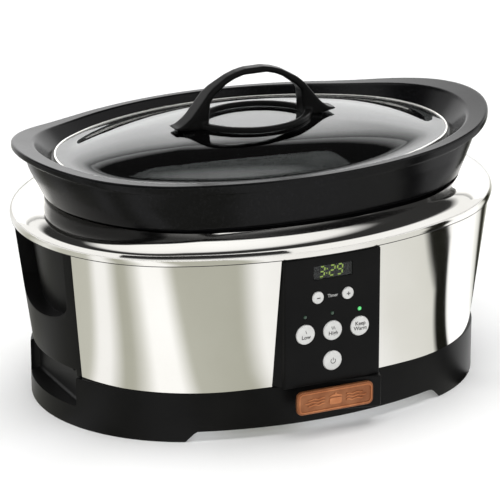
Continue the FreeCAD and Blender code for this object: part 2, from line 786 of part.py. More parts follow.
def control_housing():
    housing = Piece("control_housing")
    housing.pad("XY", PANEL_FOOT, f"{PANEL_TOP} - {PANEL_FOOT}",
                panel_plan("fascia_thickness + fit_gap", "panel_flare_depth"))
    housing.pad("XY", PANEL_FOOT, f"{PANEL_TOP} - {PANEL_FOOT}",
                box_outline("-panel_half_width - panel_flare", f"-({PANEL_FACE} - panel_flare_depth)",
                            "panel_half_width + panel_flare", f"-({PANEL_FACE} - panel_depth - panel_wall)"))
    room = box_outline("-panel_half_width + panel_wall", f"{PANEL_FOOT} + panel_wall",
                       "panel_half_width - panel_wall", f"{PANEL_TOP} - panel_wall")
    housing.pocket("XZ", f"{PANEL_FACE} - fascia_thickness", "panel_depth - fascia_thickness", room)
    keep("control_housing", housing.body)


def control_fascia():
    fascia = Piece("control_fascia")
    fascia.pad("XY", PANEL_FOOT, f"{PANEL_TOP} - {PANEL_FOOT}", panel_plan("0", "fascia_thickness"))
    holes = [circle(x, row_height(row), f"{radius} + button_clearance") for _, x, row, radius in BUTTONS]
    holes += [circle(x, row_height("lamp_row"), "lamp_radius + fit_gap / 2") for _, x in MODES]
    holes.append(rounded_outline("window_half_width + fit_gap", "window_height / 2 + fit_gap",
                                 "window_corner + fit_gap", row_height("window_middle")))
    fascia.pocket("XZ", PANEL_FACE, "fascia_thickness", *holes)
    keep("control_fascia", fascia.body)


def display():
    window = Piece("display_window")
    window.pad("XZ", f"{PANEL_FACE} - window_setback", "window_thickness",
               rounded_outline("window_half_width", "window_height / 2", "window_corner",
                               row_height("window_middle")), side="back")
    keep("display_window", window.body)
    module = Piece("display_module")
    module.pad("XZ", f"{PANEL_FACE} - fascia_thickness - fit_gap", "board_back - fascia_thickness - fit_gap",
               rounded_outline("window_half_width + display_margin", "window_height / 2 + display_margin",
                               "window_corner", row_height("window_middle")), side="back")
    keep("display_module", module.body)


def control_board():
    board = Piece("control_board")
    board.pad("XZ", BOARD_FACE, "board_thickness",
              box_outline("-panel_half_width + board_margin", f"{PANEL_FOOT} + board_margin",
                          "panel_half_width - board_margin", f"{PANEL_TOP} - board_margin"), side="back")
    keep("control_board", board.body)
    relay = Piece("power_relay")
    relay.pad("XZ", f"{BOARD_FACE} - board_thickness", "relay_thickness",
              box_outline("-relay_width / 2", f"{row_height('relay_row')} - relay_height / 2",
                          "relay_width / 2", f"{row_height('relay_row')} + relay_height / 2"), side="back")
    keep("power_relay", relay.body)
    capacitor = Piece("supply_capacitor")
    capacitor.pad("XY", row_height("capacitor_row"), "capacitor_length",
                  circle("0", f"-({BOARD_FACE} - board_thickness - capacitor_radius - fit_gap / 3)",
                         "capacitor_radius"))
    keep("supply_capacitor", capacitor.body)


def lamps():
    for name, x in MODES:
        lamp = Piece("lamp_" + name)
        lamp.pad("XZ", f"{PANEL_FACE} + lamp_proud", "board_back + lamp_proud",
                 circle(x, row_height("lamp_row"), "lamp_radius"), side="back")
        keep("lamp_" + name, lamp.body)


STEM_END = "(fascia_thickness + fit_gap + button_flange_thickness + button_travel / 2)"


def buttons():
    """Domed caps held behind the fascia by a flange, each with a stem that reaches for its switch."""
    for name, x, row, radius in BUTTONS:
        button = Piece(name)
        flange_front = "(fascia_thickness + fit_gap)"
        flange_back = f"({flange_front} + button_flange_thickness)"
        dome = f"(({radius} ^ 2 + (button_proud - button_edge) ^ 2) / (2 * (button_proud - button_edge)))"
        button.turn([
            ("0", "-button_proud", dome, 1),
            (radius, "-button_edge"),
            (radius, flange_front),
            (f"{radius} + button_flange", flange_front),
            (f"{radius} + button_flange", flange_back),
            ("button_stem_radius", flange_back),
            ("button_stem_radius", STEM_END),
            ("0", STEM_END),
        ])
        button.place(x, f"-{PANEL_FACE}", row_height(row))
        keep(name, button.body)


def button_switches():
    switches = []
    for name, x, row, _ in BUTTONS:
        switch = Piece(name.replace("button", "switch"))
        half = "switch_width / 2"
        switch.pad("XZ", f"{BOARD_FACE} + switch_height", "switch_height",
                   box_outline(f"{x} - {half}", f"{row_height(row)} - {half}", f"{x} + {half}",
                               f"{row_height(row)} + {half}"), side="back")
        switches.append(switch)
    group("button_switches", switches)


def badge():
    plate = Piece("badge")
    plate.pad("XZ", f"{BLOCK_FACE} - badge_recess + fit_gap / 3", "badge_thickness",
              rounded_outline("badge_width / 2", "badge_height / 2", "badge_corner", "badge_middle"))
    keep("badge", plate.body)


# ---------------------------------------------------------------- crock

def rim_line(height, sweep, reach):
    """Corners of a rim edge seen from the front: level in the middle, swept up at both ends."""
    run = f"({reach} - rim_flat_half)"
    radius = f"(({run} ^ 2 + {sweep} ^ 2) / (2 * {sweep}))"
    return [(f"-({reach})", f"{height} + {sweep}", radius, 1), ("-rim_flat_half", height),
            ("rim_flat_half", height, radius, 1), (f"({reach})", f"{height} + {sweep}")]


def rim_band(top, top_sweep, foot, foot_sweep, reach):
    """The outline between two rim edges, top edge first reversed so that the loop closes."""
    low = rim_line(foot, foot_sweep, reach)
    high = rim_line(top, top_sweep, reach)
    back = [(high[3][0], high[3][1], high[2][2], -1), (high[2][0], high[2][1]),
            (high[1][0], high[1][1], high[0][2], -1), (high[0][0], high[0][1])]
    return low + back


def round_bottomed(piece, kind, low, low_oval, high, high_oval, corner):
    """A tapered bowl shape from a flat bottom to a top outline, with a rounded corner at the bottom."""
    levels = []
    for degrees in (0, 30, 60, 90):
        rise = f"{corner} * {1 - math.cos(math.radians(degrees)):.5f}"
        inwards = f"{corner} * {1 - math.sin(math.radians(degrees)):.5f}"
        oval = between(low_oval, high_oval, f"({rise}) / ({high} - {low})")
        levels.append((f"{low} + {rise}", oval_outline(shrunk(oval, inwards))))
    piece.loft(kind, levels, ruled=False)
    piece.loft(kind, [levels[-1], (high, oval_outline(high_oval))])


def crock():
    pot = Piece("crock")
    waist = shrunk(CAN_HIGH, "can_wall + crock_clearance")
    foot = shrunk(CAN_LOW, "can_wall + crock_foot_shrink")
    neck = named_oval("neck")
    rim = named_oval("rim")
    rim_top = f"({CROCK_REST} + rim_rise)"
    reach = "(body_half_length + rim_overrun)"
    round_bottomed(pot, "Additive", CROCK_FOOT, foot, CROCK_REST, waist, "foot_corner")
    pot.loft("Additive", [(CROCK_REST, oval_outline(named_oval("crock_shoulder"))),
                          (f"{CROCK_REST} + neck_rise", oval_outline(neck))])
    pot.pad("XY", f"{CROCK_REST} + neck_rise", "rim_rise + rim_sweep - neck_rise", oval_outline(neck))
    band = rim_band(rim_top, "rim_sweep", f"({rim_top} - rim_thickness)", "rim_under_sweep", reach)
    pot.pad("XZ", "0", "body_half_depth * 2", band, side="both")
    # Everything outside the rim's oval and above its top edge goes.
    pot.pocket("XY", f"{rim_top} + base_height", "base_height * 2", AROUND, oval_outline(rim))
    above = rim_line(rim_top, "rim_sweep", reach) + [(reach, f"{rim_top} + base_height"),
                                                     (f"-{reach}", f"{rim_top} + base_height")]
    pot.pocket("XZ", "0", DEEP, above, side="both")
    floor = f"({CROCK_FOOT} + bowl_floor_thickness)"
    mouth = (f"({LEDGE[0]} + mouth_spread_x)", f"({LEDGE[1]} + mouth_spread_y)", LEDGE[2])
    pot.loft("Subtractive", [(LEDGE_TOP, oval_outline(LEDGE)),
                             (f"{LEDGE_TOP} + mouth_rise", oval_outline(mouth))])
    round_bottomed(pot, "Subtractive", floor, shrunk(foot, "bowl_wall"), LEDGE_TOP,
                   shrunk(LEDGE, "ledge_width"), "bowl_corner")
    keep("crock", pot.body)


# ---------------------------------------------------------------- lid

DOME = shrunk(LID, "lid_flange")
DOME_SHARES = (1.0, 0.86, 0.7, 0.5, 0.3, 0.08)


def dome_levels(foot, oval, lift):
    """Outlines of the shallow dome: its height falls with a power of the distance from the middle."""
    levels = []
    for share in DOME_SHARES:
        height = f"{foot} + {lift} + dome_height * (1 - {share} ^ dome_power)"
        levels.append((height, oval_outline(scaled(oval, share))))
    return levels


def lid_rim():
    rim = Piece("lid_rim")
    height = "glass_thickness + 2 * glass_gap + 2 * lid_rim_wall"
    rim.pad("XY", LID_FOOT, height, oval_outline(LID), oval_outline(shrunk(LID, "lid_rim_width")))
    slot = oval_outline(shrunk(LID, "lid_rim_wall"))
    core = oval_outline(shrunk(LID, "lid_rim_width + cut_margin"))
    rim.pocket("XY", f"{GLASS_TOP} + glass_gap", "glass_thickness + 2 * glass_gap", slot, core)
    keep("lid_rim", rim.body)


def lid_glass():
    glass = Piece("lid_glass")
    glass.pad("XY", GLASS_FOOT, "glass_thickness", oval_outline(shrunk(LID, "lid_rim_wall + glass_gap")))
    glass.loft("Additive", dome_levels(GLASS_TOP, DOME, "0"), ruled=False)
    glass.loft("Subtractive", dome_levels(GLASS_FOOT, shrunk(DOME, "glass_thickness / 2"), "0"), ruled=False)
    holes = [circle(f"{side}lid_screw_x", "0", "lid_screw_radius + fit_gap * 2") for side in ("", "-")]
    glass.pocket("XY", f"{GLASS_TOP} + dome_height + cut_margin", "dome_height * 2", *holes)
    keep("lid_glass", glass.body)


def dome_form(name, lift):
    """A solid under the dome's outer surface raised by some distance, to shape what sits on the glass."""
    form = Piece(name)
    form.loft("Additive", dome_levels(GLASS_TOP, DOME, lift), ruled=False)
    return form.body


# The underside of the glass at the outer edge of a lid washer, and the screw that starts below the washer.
WASHER_EDGE = f"((lid_screw_x + lid_washer_radius) / ({DOME[0]} - glass_thickness / 2))"
GLASS_UNDER = f"({GLASS_FOOT} + dome_height * (1 - {WASHER_EDGE} ^ dome_power) - fit_gap)"
LID_SCREW_SEAT = f"({GLASS_UNDER} - lid_washer_thickness)"
LID_SCREW_LENGTH = "(glass_thickness + lid_washer_thickness + lid_screw_grip)"


def lid_handle():
    top = f"({GLASS_TOP} + arch_top + dome_height)"
    crown = f"({GLASS_TOP} + arch_top)"
    knee = f"({crown} - arch_radius + sqrt(arch_radius ^ 2 - arch_knee ^ 2))"
    glass_at_tip = f"({GLASS_TOP} + dome_height * (1 - (foot_tip / {DOME[0]}) ^ dome_power))"
    tip = f"({glass_at_tip} + handle_gap + foot_tip_height)"
    inner_crown = f"({crown} - arch_thickness)"
    inner_foot = f"({inner_crown} - arch_inner_radius + sqrt(arch_inner_radius ^ 2 - leg_inner ^ 2))"
    under = f"({GLASS_TOP} + dome_height / 4)"
    profile = [
        ("-foot_tip", under), ("-leg_inner", under), ("-leg_inner", inner_foot, "arch_inner_radius", -1),
        ("0", inner_crown, "arch_inner_radius", -1), ("leg_inner", inner_foot), ("leg_inner", under),
        ("foot_tip", under), ("foot_tip", tip, "flare_radius", -1), ("arch_knee", knee, "arch_radius", 1),
        ("0", crown, "arch_radius", 1), ("-arch_knee", knee, "flare_radius", -1), ("-foot_tip", tip),
    ]
    arch = Piece("handle_arch")
    arch.pad("XZ", "0", "leg_width", profile, side="both")
    strap, leg = "(strap_width / 2)", "(leg_width / 2)"
    past = "foot_tip + cut_margin"
    plan = [(past, f"-{leg}"), (past, leg), ("leg_half", leg), ("strap_half", strap), ("-strap_half", strap),
            ("-leg_half", leg), (f"-({past})", leg), (f"-({past})", f"-{leg}"),
            ("-leg_half", f"-{leg}"), ("-strap_half", f"-{strap}"), ("strap_half", f"-{strap}"),
            ("leg_half", f"-{leg}")]
    arch.pocket("XY", top, "arch_top * 2 + dome_height", AROUND, plan)
    ring = Piece("handle_ring")
    eyes = []
    for end, side in (("0", "0"), ("ring_end_rail", "ring_rail")):
        half, rise = f"(ring_half_length - {end})", f"(ring_half_width - {side})"
        radius = f"(({half} ^ 2 + {rise} ^ 2) / (2 * {rise}))"
        eyes.append([(f"-{half}", "0", radius, 1), ("0", f"-{rise}", radius, 1), (half, "0", radius, 1),
                     ("0", rise, radius, 1)])
    ring.pad("XY", under, "dome_height * 2", *eyes)
    ring_top = dome_form("dome_over_ring", "handle_gap + handle_ring_height")
    underside = dome_form("dome_under_handle", "handle_gap")
    rails = joined("MultiCommon", "handle_rails", ring.body, ring_top)
    whole = joined("MultiFuse", "handle_whole", arch.body, rails)
    seated = joined("Cut", "handle_seated", whole, underside)
    bores = []
    for side in ("", "-"):
        bore = doc.addObject("Part::Cylinder", "handle_bore")
        bore.setExpression("Radius", bound("lid_screw_radius + fit_gap"))
        depth = f"{LID_SCREW_SEAT} + {LID_SCREW_LENGTH} + fit_gap - {GLASS_FOOT}"
        bore.setExpression("Height", bound(depth))
        bore.setExpression("Placement.Base.x", bound(f"{side}lid_screw_x"))
        bore.setExpression("Placement.Base.z", bound(GLASS_FOOT))
        bores.append(bore)
    doc.recompute()
    keep("lid_handle", joined("Cut", "lid_handle", seated, joined("MultiFuse", "handle_bores", *bores)))


def lid_fasteners():
    """A screw and a soft washer under the glass at each foot of the handle."""
    washers, screws = [], []
    for index, side in enumerate(("", "-"), start=1):
        washer = Piece(f"lid_washer_{index}")
        washer.pad("XY", LID_SCREW_SEAT, "lid_washer_thickness",
                   circle(f"{side}lid_screw_x", "0", "lid_washer_radius"),
                   circle(f"{side}lid_screw_x", "0", "lid_screw_radius + fit_gap"))
        washers.append(washer)
        piece = screw(f"lid_screw_{index}", "lid_screw_head", "screw_head_height", "lid_screw_radius",
                      LID_SCREW_LENGTH)
        screws.append(piece.place(f"{side}lid_screw_x", "0", LID_SCREW_SEAT))
    group("lid_washers", washers)
    group("lid_screws", screws)


# ---------------------------------------------------------------- build, check and write

base_housing()
base_plate()
rubber_feet()
base_screws()
cord_gland()
wrap("front_wrap", True)
wrap("rear_wrap", False)
collar()
side_handle("left_handle", "-")
side_handle("right_handle", "")
heating_can()
heater_band()
tie_parts()
temperature_sensor()
control_housing()
control_fascia()
display()
control_board()
lamps()
buttons()
button_switches()
badge()
crock()
lid_rim()
lid_glass()
lid_handle()
lid_fasteners()
doc.recompute()

faults = [f"{o.Name}: {o.State}" for o in doc.Objects if "Invalid" in o.State or "Error" in o.State]
for name, node in NODES.items():
    if node.Shape.isNull() or not node.Shape.isValid() or not node.Shape.Solids:
        faults.append(f"{name}: its shape is not a valid solid")
if faults:
    raise RuntimeError("; ".join(faults))

os.makedirs("parts", exist_ok=True)
for name, node in NODES.items():
    node.Shape.exportStep(os.path.join("parts", name + ".step"))
    box = node.Shape.BoundBox
    print(f"{name}: {len(node.Shape.Solids)} solid(s), {node.Shape.Volume / 1000:.1f} cm3, "
          f"{box.XLength:.1f} x {box.YLength:.1f} x {box.ZLength:.1f} mm, foot at {box.ZMin:.1f}")
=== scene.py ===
import bpy
import math
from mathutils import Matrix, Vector


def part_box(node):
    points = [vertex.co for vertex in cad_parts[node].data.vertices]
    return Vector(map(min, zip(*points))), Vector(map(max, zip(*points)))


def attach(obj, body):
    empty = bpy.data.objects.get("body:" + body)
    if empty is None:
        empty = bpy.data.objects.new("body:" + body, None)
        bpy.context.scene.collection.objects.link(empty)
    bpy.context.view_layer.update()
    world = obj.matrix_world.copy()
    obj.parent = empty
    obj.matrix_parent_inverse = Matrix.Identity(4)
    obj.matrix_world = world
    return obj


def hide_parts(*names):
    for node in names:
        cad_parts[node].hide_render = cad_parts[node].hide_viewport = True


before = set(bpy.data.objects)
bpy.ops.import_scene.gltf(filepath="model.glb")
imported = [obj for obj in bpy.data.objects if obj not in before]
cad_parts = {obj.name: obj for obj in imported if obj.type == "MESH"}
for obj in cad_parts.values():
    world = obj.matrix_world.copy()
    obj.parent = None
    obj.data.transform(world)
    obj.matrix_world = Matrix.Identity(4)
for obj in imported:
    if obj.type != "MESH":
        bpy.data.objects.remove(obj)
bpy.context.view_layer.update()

# Oval slow cooker. Lengths below are in millimetres; MM turns them into the scene's metres.
# +Z is up, the length runs along X and the front faces -Y.
MM = 0.001


# ---------------------------------------------------------------- sizes taken from the frame

def low(node, axis):
    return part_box(node)[0][axis] / MM


def high(node, axis):
    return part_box(node)[1][axis] / MM


X, Y, Z = 0, 1, 2
FIT = 0.3
FINE = (64, 72)
BODY_LENGTH = high("collar", X)
BODY_DEPTH = high("collar", Y)
COLLAR_FOOT = low("collar", Z)
LIP_TOP = high("collar", Z)
BASE_TOP = low("left_handle", Z) - FIT
CROCK_FOOT = low("crock", Z)
LID_FOOT = low("lid_rim", Z)
LID_TOP = high("lid_rim", Z)
PANEL_FACE = -low("control_fascia", Y)
PANEL_FOOT = low("control_fascia", Z)
PANEL_TOP = high("control_fascia", Z)
GLASS_BELOW_BAND, GLASS_THICKNESS, GLASS_INSET, GLASS_FLANGE = 1.0, 3.2, 1.1, 12.3
GLASS_TOP = LID_TOP - GLASS_BELOW_BAND
DOME_HEIGHT = high("lid_glass", Z) - GLASS_TOP
DOME_POWER = 3.0

# An oval is (half length, half depth, how much smaller its end radius is than its half depth). A level of a
# wall is an oval followed by its height and by how far its ends are swept up.
BODY = (BODY_LENGTH, BODY_DEPTH, 14.3)
BASE = (BODY_LENGTH - 15.0, BODY_DEPTH - 10.3, 11.0)
WRAP_LOW = (BODY_LENGTH - 18.1, BODY_DEPTH - 11.7, 4.6)
WRAP_HIGH = (BODY_LENGTH - 1.9, BODY_DEPTH - 1.9, 14.3)
LID_DROP = 27.6
LID = (high("lid_rim", X), high("lid_rim", Y), LID_DROP)
DOME = (LID[0] - GLASS_FLANGE, LID[1] - GLASS_FLANGE, LID_DROP)
WRAP_FOOT, WRAP_TOP = BASE_TOP + FIT, COLLAR_FOOT + 2.0


# ---------------------------------------------------------------- ovals and outlines

def shrunk(oval, gap):
    return (oval[0] - gap, oval[1] - gap, oval[2])


def mixed(first, second, share):
    """Every number of one tuple moved part of the way to the other's."""
    return tuple(a + (b - a) * share for a, b in zip(first, second))


def oval_arcs(oval):
    """Centre distance of the end arcs, their radius, offset and radius of the side arcs, corner angle."""
    half_length, half_depth, drop = oval
    end = half_depth - drop
    centre = half_length - end
    offset = (centre ** 2 - drop ** 2) / (2 * drop)
    return centre, end, offset, half_depth + offset, math.atan2(offset, centre)


def oval_at(oval, angle):
    """The point of the oval whose outward normal has that angle."""
    centre, end, offset, side, corner = oval_arcs(oval)
    c, s = math.cos(angle), math.sin(angle)
    if abs(s) < math.sin(corner):
        return Vector((math.copysign(centre, c) + end * c, end * s))
    return Vector((side * c, side * s - math.copysign(offset, s)))


def oval_angles(oval, end_steps, side_steps):
    """Normal angles once round, with the same number of steps on each arc of every oval."""
    corner = oval_arcs(oval)[4]
    spans = [(-corner, corner, end_steps), (corner, math.pi - corner, side_steps),
             (math.pi - corner, math.pi + corner, end_steps),
             (math.pi + corner, 2 * math.pi - corner, side_steps)]
    return [start + (stop - start) * i / steps for start, stop, steps in spans for i in range(steps)]


RIM_FLAT, RIM_REACH = 110.0, 203.0


def sweep_at(x, sweep):
    """How far an edge of the crock's rim has risen at x: level in the middle, an arc towards each end."""
    run = RIM_REACH - RIM_FLAT
    out = min(max(abs(x) - RIM_FLAT, 0.0), run)
    if sweep <= 0 or out == 0:
        return 0.0
    radius = (run ** 2 + sweep ** 2) / (2 * sweep)
    return radius - math.sqrt(radius ** 2 - out ** 2)


def oval_ring(level, end_steps, side_steps):
    """A level is (half length, half depth, end drop, height, sweep)."""
    oval, height, sweep = level[:3], level[3], level[4]
    ring = []
    for angle in oval_angles(oval, end_steps, side_steps):
        x, y = oval_at(oval, angle)
        ring.append(Vector((x, y, height + sweep_at(x, sweep))))
    return ring


def round_ring(radius, along, centre, axis, steps):
    """A circle about an axis through centre, moved along it."""
    ring = []
    for i in range(steps):
        a = 2 * math.pi * i / steps
        c, s = radius * math.cos(a), radius * math.sin(a)
        offset = {"Z": Vector((c, s, along)), "Y": Vector((c, along, -s))}[axis]
        ring.append(Vector(centre) + offset)
    return ring


def softened(corners, steps=5):
    """Rounds the corners of a profile. Each corner is a level and a radius; the ends stay as they are."""
    done = [corners[0][0]]
    for (before, _), (here, radius), (after, _) in zip(corners, corners[1:], corners[2:]):
        if radius <= 0:
            done.append(here)
            continue
        legs = []
        for other in (before, after):
            length = math.dist((here[0], here[3], here[1]), (other[0], other[3], other[1]))
            legs.append(min(radius / max(length, 1e-6), 0.45))
        start, stop = mixed(here, before, legs[0]), mixed(here, after, legs[1])
        done.append(mixed(here, before, min(legs[0] * 1.35, 0.49)))
        for i in range(steps + 1):
            t = i / steps
            done.append(mixed(mixed(start, here, t), mixed(here, stop, t), t))
        done.append(mixed(here, after, min(legs[1] * 1.35, 0.49)))
    done.append(corners[-1][0])
    return done


def curved(levels, steps):
    """A smooth curve through every level."""
    points = [levels[0]] + list(levels) + [levels[-1]]
    done = []
    for p0, p1, p2, p3 in zip(points, points[1:], points[2:], points[3:]):
        for i in range(steps):
            t = i / steps
            done.append(tuple(0.5 * (2 * b + (c - a) * t + (2 * a - 5 * b + 4 * c - d) * t ** 2
                                     + (3 * b - a - 3 * c + d) * t ** 3)
                              for a, b, c, d in zip(p0, p1, p2, p3)))
    done.append(levels[-1])
    return done


# ---------------------------------------------------------------- modelling

def deselect():
    if bpy.context.object and bpy.context.object.mode != "OBJECT":
        bpy.ops.object.mode_set(mode="OBJECT")
    bpy.ops.object.select_all(action="DESELECT")


def only(obj):
    deselect()
    obj.select_set(True)
    bpy.context.view_layer.objects.active = obj


def settle(obj):
    """Puts the object's place into its mesh."""
    only(obj)
    bpy.ops.object.transform_apply(location=True, rotation=True, scale=True)
    return obj


def edit_all(obj, *steps):
    """Runs edit-mode operators on the whole mesh."""
    only(obj)
    bpy.ops.object.mode_set(mode="EDIT")
    bpy.ops.mesh.select_all(action="SELECT")
    for step in steps:
        step()
    bpy.ops.object.mode_set(mode="OBJECT")
    return obj


def weld(obj, distance):
    return edit_all(obj, lambda: bpy.ops.mesh.remove_doubles(threshold=distance * MM),
                    lambda: bpy.ops.mesh.normals_make_consistent(inside=False))


def finish_with(obj, kind, **settings):
    """Adds a modifier and applies it."""
    only(obj)
    modifier = obj.modifiers.new(kind.title(), kind)
    for key, value in settings.items():
        setattr(modifier, key, value)
    bpy.ops.object.modifier_apply(modifier=modifier.name)
    return obj


def bevelled(obj, width, segments, degrees):
    """Rounds the edges that bend by more than an angle."""
    return finish_with(obj, "BEVEL", width=width * MM, segments=segments, limit_method="ANGLE",
                       angle_limit=math.radians(degrees))


def smooth(obj, degrees):
    only(obj)
    bpy.ops.object.shade_smooth_by_angle(angle=math.radians(degrees))
    return obj


def lofted(name, rings, start="open", stop="open"):
    """A circle is extruded once for each ring, and each ring is laid on its points.
    An end is "open", "flat" (one face) or "point" (drawn together)."""
    count = len(rings[0])
    deselect()
    bpy.ops.mesh.primitive_circle_add(vertices=count, radius=1.0, fill_type="NOTHING")
    obj = bpy.context.object
    obj.name = obj.data.name = name
    bpy.ops.object.mode_set(mode="EDIT")
    bpy.ops.mesh.select_all(action="SELECT")
    for _ in rings[1:]:
        bpy.ops.mesh.extrude_edges_move(TRANSFORM_OT_translate={"value": (0, 0, 1)})
    bpy.ops.object.mode_set(mode="OBJECT")
    ends = {0: [], len(rings) - 1: []}
    for vertex in obj.data.vertices:
        level = round(vertex.co.z)
        turn = round(math.atan2(vertex.co.y, vertex.co.x) / (2 * math.pi) * count) % count
        vertex.co = rings[level][turn] * MM
        if level in ends:
            ends[level].append(vertex.index)
    for level, end in ((0, start), (len(rings) - 1, stop)):
        if end in ("flat", "point"):
            close_end(obj, ends[level], end)
    return weld(obj, 0.002)


def oval_wall(name, levels, end_steps=44, side_steps=52, **ends):
    """A wall that passes through oval levels."""
    return lofted(name, [oval_ring(level, end_steps, side_steps) for level in levels], **ends)


def close_end(obj, ring, kind):
    only(obj)
    bpy.ops.object.mode_set(mode="EDIT")
    bpy.ops.mesh.select_all(action="DESELECT")
    bpy.ops.object.mode_set(mode="OBJECT")
    chosen = set(ring)
    for vertex in obj.data.vertices:
        vertex.select = vertex.index in chosen
    for edge in obj.data.edges:
        edge.select = edge.vertices[0] in chosen and edge.vertices[1] in chosen
    bpy.ops.object.mode_set(mode="EDIT")
    if kind == "flat":
        bpy.ops.mesh.edge_face_add()
    else:
        bpy.ops.mesh.extrude_edges_move(TRANSFORM_OT_translate={"value": (0, 0, 0)})
        bpy.ops.mesh.merge(type="CENTER")
    bpy.ops.object.mode_set(mode="OBJECT")


def turned(name, profile, centre=(0, 0, 0), axis="Z", steps=64, **ends):
    """A round piece: the profile is (radius, distance along the axis)."""
    return lofted(name, [round_ring(r, along, centre, axis, steps) for r, along in profile], **ends)


def sheet(name, place, columns, rows):
    """A grid laid on place(across, up), both from 0 to 1."""
    deselect()
    bpy.ops.mesh.primitive_grid_add(x_subdivisions=columns, y_subdivisions=rows, size=2)
    obj = bpy.context.object
    obj.name = obj.data.name = name
    for vertex in obj.data.vertices:
        vertex.co = place((vertex.co.x + 1) / 2, (vertex.co.y + 1) / 2) * MM
    return obj


def prism(name, outline, axis, start, stop):
    """A flat outline of (across, up) corners, drawn out along an axis."""
    def corner(across, up, along):
        return {"X": Vector((along, across, up)), "Y": Vector((across, along, up)),
                "Z": Vector((across, up, along))}[axis]
    rings = [[corner(a, u, along) for a, u in outline] for along in (start, stop)]
    return lofted(name, rings, start="flat", stop="flat")


def rounded_box_outline(half_width, half_height, radius, middle, steps=6):
    points = []
    for sx, sy, first in ((1, -1, -90), (1, 1, 0), (-1, 1, 90), (-1, -1, 180)):
        for i in range(steps + 1):
            a = math.radians(first + 90 * i / steps)
            points.append((middle[0] + sx * (half_width - radius) + radius * math.cos(a),
                           middle[1] + sy * (half_height - radius) + radius * math.sin(a)))
    return points


def combined(target, tool, operation):
    """A boolean with another piece, which is used up."""
    finish_with(target, "BOOLEAN", operation=operation, object=tool, solver="EXACT")
    bpy.data.objects.remove(tool)
    return target


def merged(name, pieces):
    deselect()
    for piece in pieces:
        piece.select_set(True)
    bpy.context.view_layer.objects.active = pieces[0]
    if len(pieces) > 1:
        bpy.ops.object.join()
    pieces[0].name = pieces[0].data.name = name
    return pieces[0]


def finished(obj, material, body="base", nodes=()):
    """Gives the piece its finish, its body and the CAD nodes that it stands for."""
    obj.data.materials.clear()
    obj.data.materials.append(material)
    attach(obj, body)
    if nodes:
        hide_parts(*nodes)
    return obj


# ---------------------------------------------------------------- materials

class Wire:
    """An output socket. Arithmetic on it adds Math nodes."""

    def __init__(self, finish, socket):
        self.finish, self.socket = finish, socket

    def math(self, operation, first, second):
        return self.finish.node("ShaderNodeMath", {"operation": operation}, {0: first, 1: second})

    def __add__(self, other):
        return self.math("ADD", self, other)

    def __sub__(self, other):
        return self.math("SUBTRACT", self, other)

    def __mul__(self, other):
        return self.math("MULTIPLY", self, other)

    __radd__ = __add__


def set_stops(ramp, stops):
    """Fills a colour ramp with (position, colour) stops."""
    while len(ramp.elements) < len(stops):
        ramp.elements.new(1.0)
    for element, (position, colour) in zip(ramp.elements, stops):
        element.position = position
        element.color = (*colour, 1.0)


class Finish:
    """A material under construction."""

    def __init__(self, name):
        self.material = bpy.data.materials.new(name)
        self.material.use_nodes = True
        self.tree = self.material.node_tree
        self.tree.nodes.clear()
        self.place = self.node("ShaderNodeTexCoord", output="Object")

    def node(self, kind, settings=None, inputs=None, output=0):
        node = self.tree.nodes.new(kind)
        for key, value in (settings or {}).items():
            if key == "stops":
                set_stops(node.color_ramp, value)
            else:
                setattr(node, key, value)
        for key, value in (inputs or {}).items():
            if isinstance(value, Wire):
                self.tree.links.new(value.socket, node.inputs[key])
            else:
                node.inputs[key].default_value = value
        return Wire(self, node.outputs[output])

    def noise(self, scale, detail=3.0, stretch=(1, 1, 1)):
        """Mottling of that scale, in cycles per metre, drawn out where stretch is under 1."""
        place = self.node("ShaderNodeMapping", None, {"Vector": self.place, "Scale": stretch})
        return self.node("ShaderNodeTexNoise", None, {"Vector": place, "Scale": scale, "Detail": detail})

    def ramp(self, amount, *stops):
        return self.node("ShaderNodeValToRGB", {"stops": stops}, {"Fac": amount})

    def blend(self, amount, first, second):
        return self.node("ShaderNodeMix", {"data_type": "RGBA"},
                         {"Factor": amount, 6: first, 7: second}, output=2)

    def bump(self, height, strength, depth):
        return self.node("ShaderNodeBump", None,
                         {"Height": height, "Strength": strength, "Distance": depth * MM})

    def surface(self, **sockets):
        """Principled sockets, by their names in lower case with underscores."""
        named = {key.replace("_", " ").title().replace("Ior", "IOR"): v for key, v in sockets.items()}
        shader = self.node("ShaderNodeBsdfPrincipled", None, named)
        output = self.tree.nodes.new("ShaderNodeOutputMaterial")
        self.tree.links.new(shader.socket, output.inputs["Surface"])
        return self.material


def grey(value, warmth=0.0):
    return (value * (1 + warmth), value, value * (1 - warmth), 1.0)


def polished_steel():
    """Mirror-polished sheet: faint handling haze and the slight wave of pressed metal."""
    f = Finish("polished_steel")
    haze = f.noise(16.0, 4.0)
    polish = f.noise(700.0, 2.0, (0.05, 0.05, 1.0))
    wave = f.noise(11.0, 1.0)
    colour = f.ramp(haze, (0.3, (0.80, 0.785, 0.745)), (0.75, (0.85, 0.84, 0.805)))
    return f.surface(base_color=colour, metallic=1.0, roughness=0.045 + haze * 0.035 + polish * 0.02,
                     normal=f.bump(wave, 0.12, 1.0))


def satin_plastic(name, tone, rough, grain_scale, grain_depth):
    """Moulded black plastic with a fine spark-eroded grain and slightly rubbed patches."""
    f = Finish(name)
    grain = f.noise(grain_scale, 2.0)
    rubbed = f.noise(26.0, 4.0)
    colour = f.ramp(rubbed, (0.35, (tone * 0.8,) * 3), (0.7, (tone * 1.3, tone * 1.28, tone * 1.25)))
    return f.surface(base_color=colour, roughness=rough + rubbed * 0.10 + grain * 0.05,
                     specular_ior_level=0.09, normal=f.bump(grain, 0.25, grain_depth))


